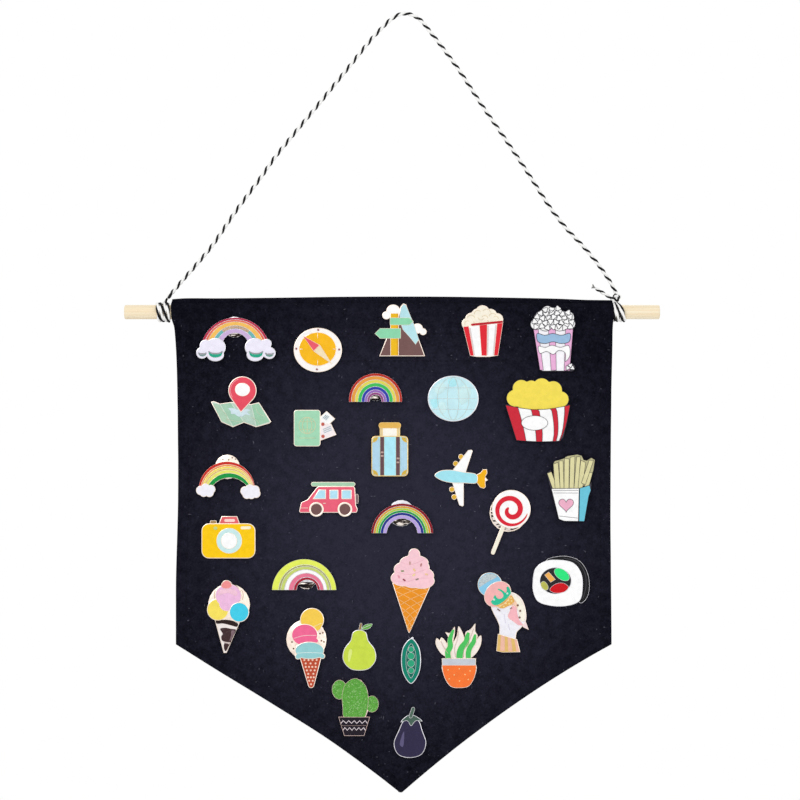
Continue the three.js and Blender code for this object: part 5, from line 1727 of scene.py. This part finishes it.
def stamped_plate(node):
    """Copy of a badge's CAD plate and post, merged, with its front rim rounded over."""
    plate = bmesh.new()
    plate.from_mesh(frame["nodes"][node].data)
    same_place, same_plane, sharp, facing = 0.002 * MM, 0.01, 1.2, 0.99
    bmesh.ops.remove_doubles(plate, verts=plate.verts, dist=same_place)
    bmesh.ops.dissolve_limit(plate, angle_limit=same_plane, verts=plate.verts, edges=plate.edges)
    rim = [
        edge for edge in plate.edges
        if len(edge.link_faces) == 2 and edge.calc_face_angle(0) > sharp
        and min(face.normal.y for face in edge.link_faces) < -facing
    ]
    bmesh.ops.bevel(plate, geom=rim, offset=PLATE_BEVEL * MM, segments=2, profile=0.5, affect="EDGES")
    for face in plate.faces:
        face.material_index = METAL_FACE
    return plate


def make_badge(name, post, plating, paint):
    """Plate with its raised metal and enamel, as one piece on the badge's own body."""
    art = Relief()
    paint(art)
    node = f"badge_{name}"
    low, _ = corners_of(node)
    turning = JOINT_PLACES[f"{name}_turn"]
    flat = np.concatenate(art.points)
    points = np.stack([
        turning[0] - post[0] + flat[:, 0], low[1] - flat[:, 2], turning[2] - post[1] + flat[:, 1],
    ], 1)
    work = make_piece(f"pin_{name}", points, art.faces, plating, node, [node])
    mesh = work.data
    for finish in (ENAMEL, GLITTER, PAINTED_REFLECTION):
        mesh.materials.append(finish)
    mesh.polygons.foreach_set("material_index", np.array(art.finishes, np.int32))
    colours = np.concatenate(art.colours).astype(np.float32)
    mesh.attributes.new("enamel", "FLOAT_COLOR", "POINT").data.foreach_set("color", colours.ravel())
    whole = stamped_plate(node)
    whole.from_mesh(mesh)
    whole.to_mesh(mesh)
    whole.free()
    if "custom_normal" in mesh.attributes:
        mesh.attributes.remove(mesh.attributes["custom_normal"])
    mesh.shade_smooth()
    mesh.set_sharp_from_angle(angle=np.radians(45))
    return work


# Butterfly clutches


def clutch_cap():
    """Pressed cap: a profile of radius against depth, spun about the post."""
    profile = np.array(
        [
            (0.85, 0.1), (2.4, 0.0), (4.8, 0.0), (5.5, 0.12), (5.75, 0.5), (5.62, 0.92), (5.2, 1.08),
            (4.5, 0.98), (3.9, 1.06), (3.3, 1.5), (2.9, 2.2), (2.5, 2.8), (1.8, 3.0), (0.9, 2.95),
            (0.82, 2.0),
        ],
    )
    count = len(profile)
    angle = np.arange(CLUTCH_SIDES) / CLUTCH_SIDES * FULL_TURN
    dimple = 1 + 0.012 * np.cos(8 * angle)
    points = np.stack([
        profile[:, :1] * np.cos(angle) * dimple, np.broadcast_to(profile[:, 1:], (count, CLUTCH_SIDES)),
        profile[:, :1] * np.sin(angle) * dimple,
    ], -1)
    quads = grid_faces(count + 1, CLUTCH_SIDES, around=True) % (count * CLUTCH_SIDES)
    return points.reshape(-1, 3), quads.tolist()


def clutch_wing(side):
    """Finger wing: a rounded strip whose section is carried up a path that flares outwards."""
    path = through([(1.2, 2.7), (1.9, 3.1), (2.35, 3.9), (2.5, 4.8), (2.9, 5.5), (3.5, 5.9)], 5)
    share = np.linspace(0, 1, len(path))
    rounded_end = np.sqrt(np.clip(1.02 - share**8, 0.02, 1))
    half_width = 1.75 * (0.72 + 0.28 * np.sin(np.pi * share**0.7)) * rounded_end
    ahead = unit(np.gradient(path, axis=0))
    angle = np.arange(WING_SIDES) / WING_SIDES * FULL_TURN
    wide = np.sign(np.cos(angle)) * np.abs(np.cos(angle)) ** 0.5
    thick = 0.24 * np.sin(angle)
    x = path[:, 0, None] - ahead[:, 1, None] * thick
    y = path[:, 1, None] + ahead[:, 0, None] * thick
    points = np.stack([side * x, y, half_width[:, None] * wide], -1)
    return points.reshape(-1, 3), tube_faces(len(path), WING_SIDES)


def make_clutch(index, name, plating):
    """Clutch on its post; three badges keep theirs on their own body."""
    node = f"clutch_{name}"
    has_body = node in frame["nodes"]
    turning = JOINT_PLACES[f"{name}_turn"]
    behind = corners_of(node)[0][1] if has_body else BANNER_LOW[1] + CLOTH_THICKNESS + CLUTCH_GAP
    points, faces = joined([clutch_cap(), clutch_wing(1), clutch_wing(-1)])
    turn = 0.35 * np.sin(3.7 * index)
    across = points[:, 0] * np.cos(turn) - points[:, 2] * np.sin(turn)
    up = points[:, 0] * np.sin(turn) + points[:, 2] * np.cos(turn)
    placed = np.stack([turning[0] + across, behind + points[:, 1], turning[2] + up], 1)
    finish = SILVER if plating in (SILVER, BLACK_NICKEL) else GOLD
    body = node if has_body else f"badge_{name}"
    piece = make_piece(f"butterfly_{name}", placed, faces, finish, body, [node] if has_body else [])
    face_outwards(piece)
    piece.data.set_sharp_from_angle(angle=np.radians(50))
    return piece


# Camera, light and floor


def make_camera():
    """Camera straight in front, as far off as makes the picture's frame span the cloth as it should."""
    data = bpy.data.cameras.new("front_camera")
    data.lens, data.sensor_width = LENS, SENSOR
    camera = bpy.data.objects.new("front_camera", data)
    away = PICTURE_WIDTH * LENS / SENSOR
    camera.location = np.array([PICTURE_MIDDLE[0], BANNER_LOW[1] - away, PICTURE_MIDDLE[1]]) * MM
    camera.rotation_euler = (np.pi / 2, 0, 0)
    bpy.context.scene.collection.objects.link(camera)
    bpy.context.scene.camera = camera


def make_lamp(name, place, size, power):
    """Square soft box that faces the middle of the board."""
    data = bpy.data.lights.new(name, "AREA")
    data.size, data.energy = size, power
    lamp = bpy.data.objects.new(name, data)
    lamp.location = place
    target = Vector((0, 0, PICTURE_MIDDLE[1] * MM))
    lamp.rotation_euler = (target - lamp.location).to_track_quat("-Z", "Y").to_euler()
    bpy.context.scene.collection.objects.link(lamp)


def make_world():
    """White where the camera, gloss or glass looks, and a softer even light elsewhere."""
    world = bpy.data.worlds.new("studio")
    world.use_nodes = True
    wire = Wire(world.node_tree)
    rays = ("Is Camera Ray", "Is Glossy Ray", "Is Transmission Ray")
    paths = [wire.node("ShaderNodeLightPath", output=name) for name in rays]
    seen = paths[0].math("MAXIMUM", paths[0], paths[1].math("MAXIMUM", paths[1], paths[2]))
    background = world.node_tree.nodes["Background"]
    wire.fill(background, {"Color": (1.0, 1.0, 1.0, 1.0), "Strength": 0.7 + 0.3 * seen})
    bpy.context.scene.world = world


def make_floor():
    """Pale round floor below the board that fades out at its edge."""
    radius = np.linspace(0.01, 1, FLOOR_RINGS)[:, None] * FLOOR_RADIUS
    angle = np.arange(FLOOR_SIDES) / FLOOR_SIDES * FULL_TURN
    height = np.full((FLOOR_RINGS, FLOOR_SIDES), BANNER_LOW[2] - FLOOR_DROP)
    points = np.stack([radius * np.cos(angle), radius * np.sin(angle), height], -1).reshape(-1, 3)
    faces = grid_faces(FLOOR_RINGS, FLOOR_SIDES, around=True).tolist() + [list(range(FLOOR_SIDES))]
    mesh = bpy.data.meshes.new("floor")
    mesh.from_pydata((points * MM).tolist(), [], faces)
    finish, wire, shader = new_material("pale_floor", Roughness=0.9, Specular_IOR_Level=0.1)
    place = object_place(wire)
    grain = wire.noise(place, 0.05, 3.0)
    wire.fill(shader, {"Base_Color": grain.mix(tint(250, 250, 250), tint(246, 246, 246))})
    flat = wire.node("ShaderNodeVectorMath", {"operation": "MULTIPLY"}, n0=place, n1=(1, 1, 0))
    spread = wire.node("ShaderNodeVectorMath", {"operation": "LENGTH"}, 1, n0=flat)
    clear = wire.node("ShaderNodeBsdfTransparent")
    solid = Wire(wire.tree, shader.outputs[0])
    mixed = wire.node("ShaderNodeMixShader", n0=spread.step(0.24, 0.47), n1=solid, n2=clear)
    wire.fill(finish.node_tree.nodes["Material Output"], {"Surface": mixed})
    mesh.materials.append(finish)
    floor = bpy.data.objects.new("floor", mesh)
    bpy.context.scene.collection.objects.link(floor)


make_camera()
cord, route = make_cord()
lashings = [make_left_lashing(), make_right_lashing()]

make_dowel()
banner = make_banner()
hems = make_hems()
stitches = make_stitches()
cloth_width = BANNER_HIGH[0] - BANNER_LOW[0]
cloth_length = LAP_LENGTH + WRAP_LENGTH - BANNER_LOW[2] + AXIS_Z
columns = np.linspace(-cloth_width / 2, cloth_width / 2, 400)
cloth_area = (bottom_of(columns).mean() + LAP_LENGTH + WRAP_LENGTH) * cloth_width
cloth_length * MM

for number, (badge_name, (post, plating, paint)) in enumerate(BADGES.items()):
    make_badge(badge_name, post, plating, paint)
    make_clutch(number, badge_name, plating)

make_world()
make_lamp("key_box", (-0.7, -1.3, 0.45), 0.9, 6.6)
make_lamp("fill_box", (0.9, -1.2, -0.1), 1.0, 2.8)
make_lamp("back_box", (0.3, 1.3, 0.4), 1.0, 7.0)
make_floor()
bpy.context.scene.view_settings.view_transform = "Standard"
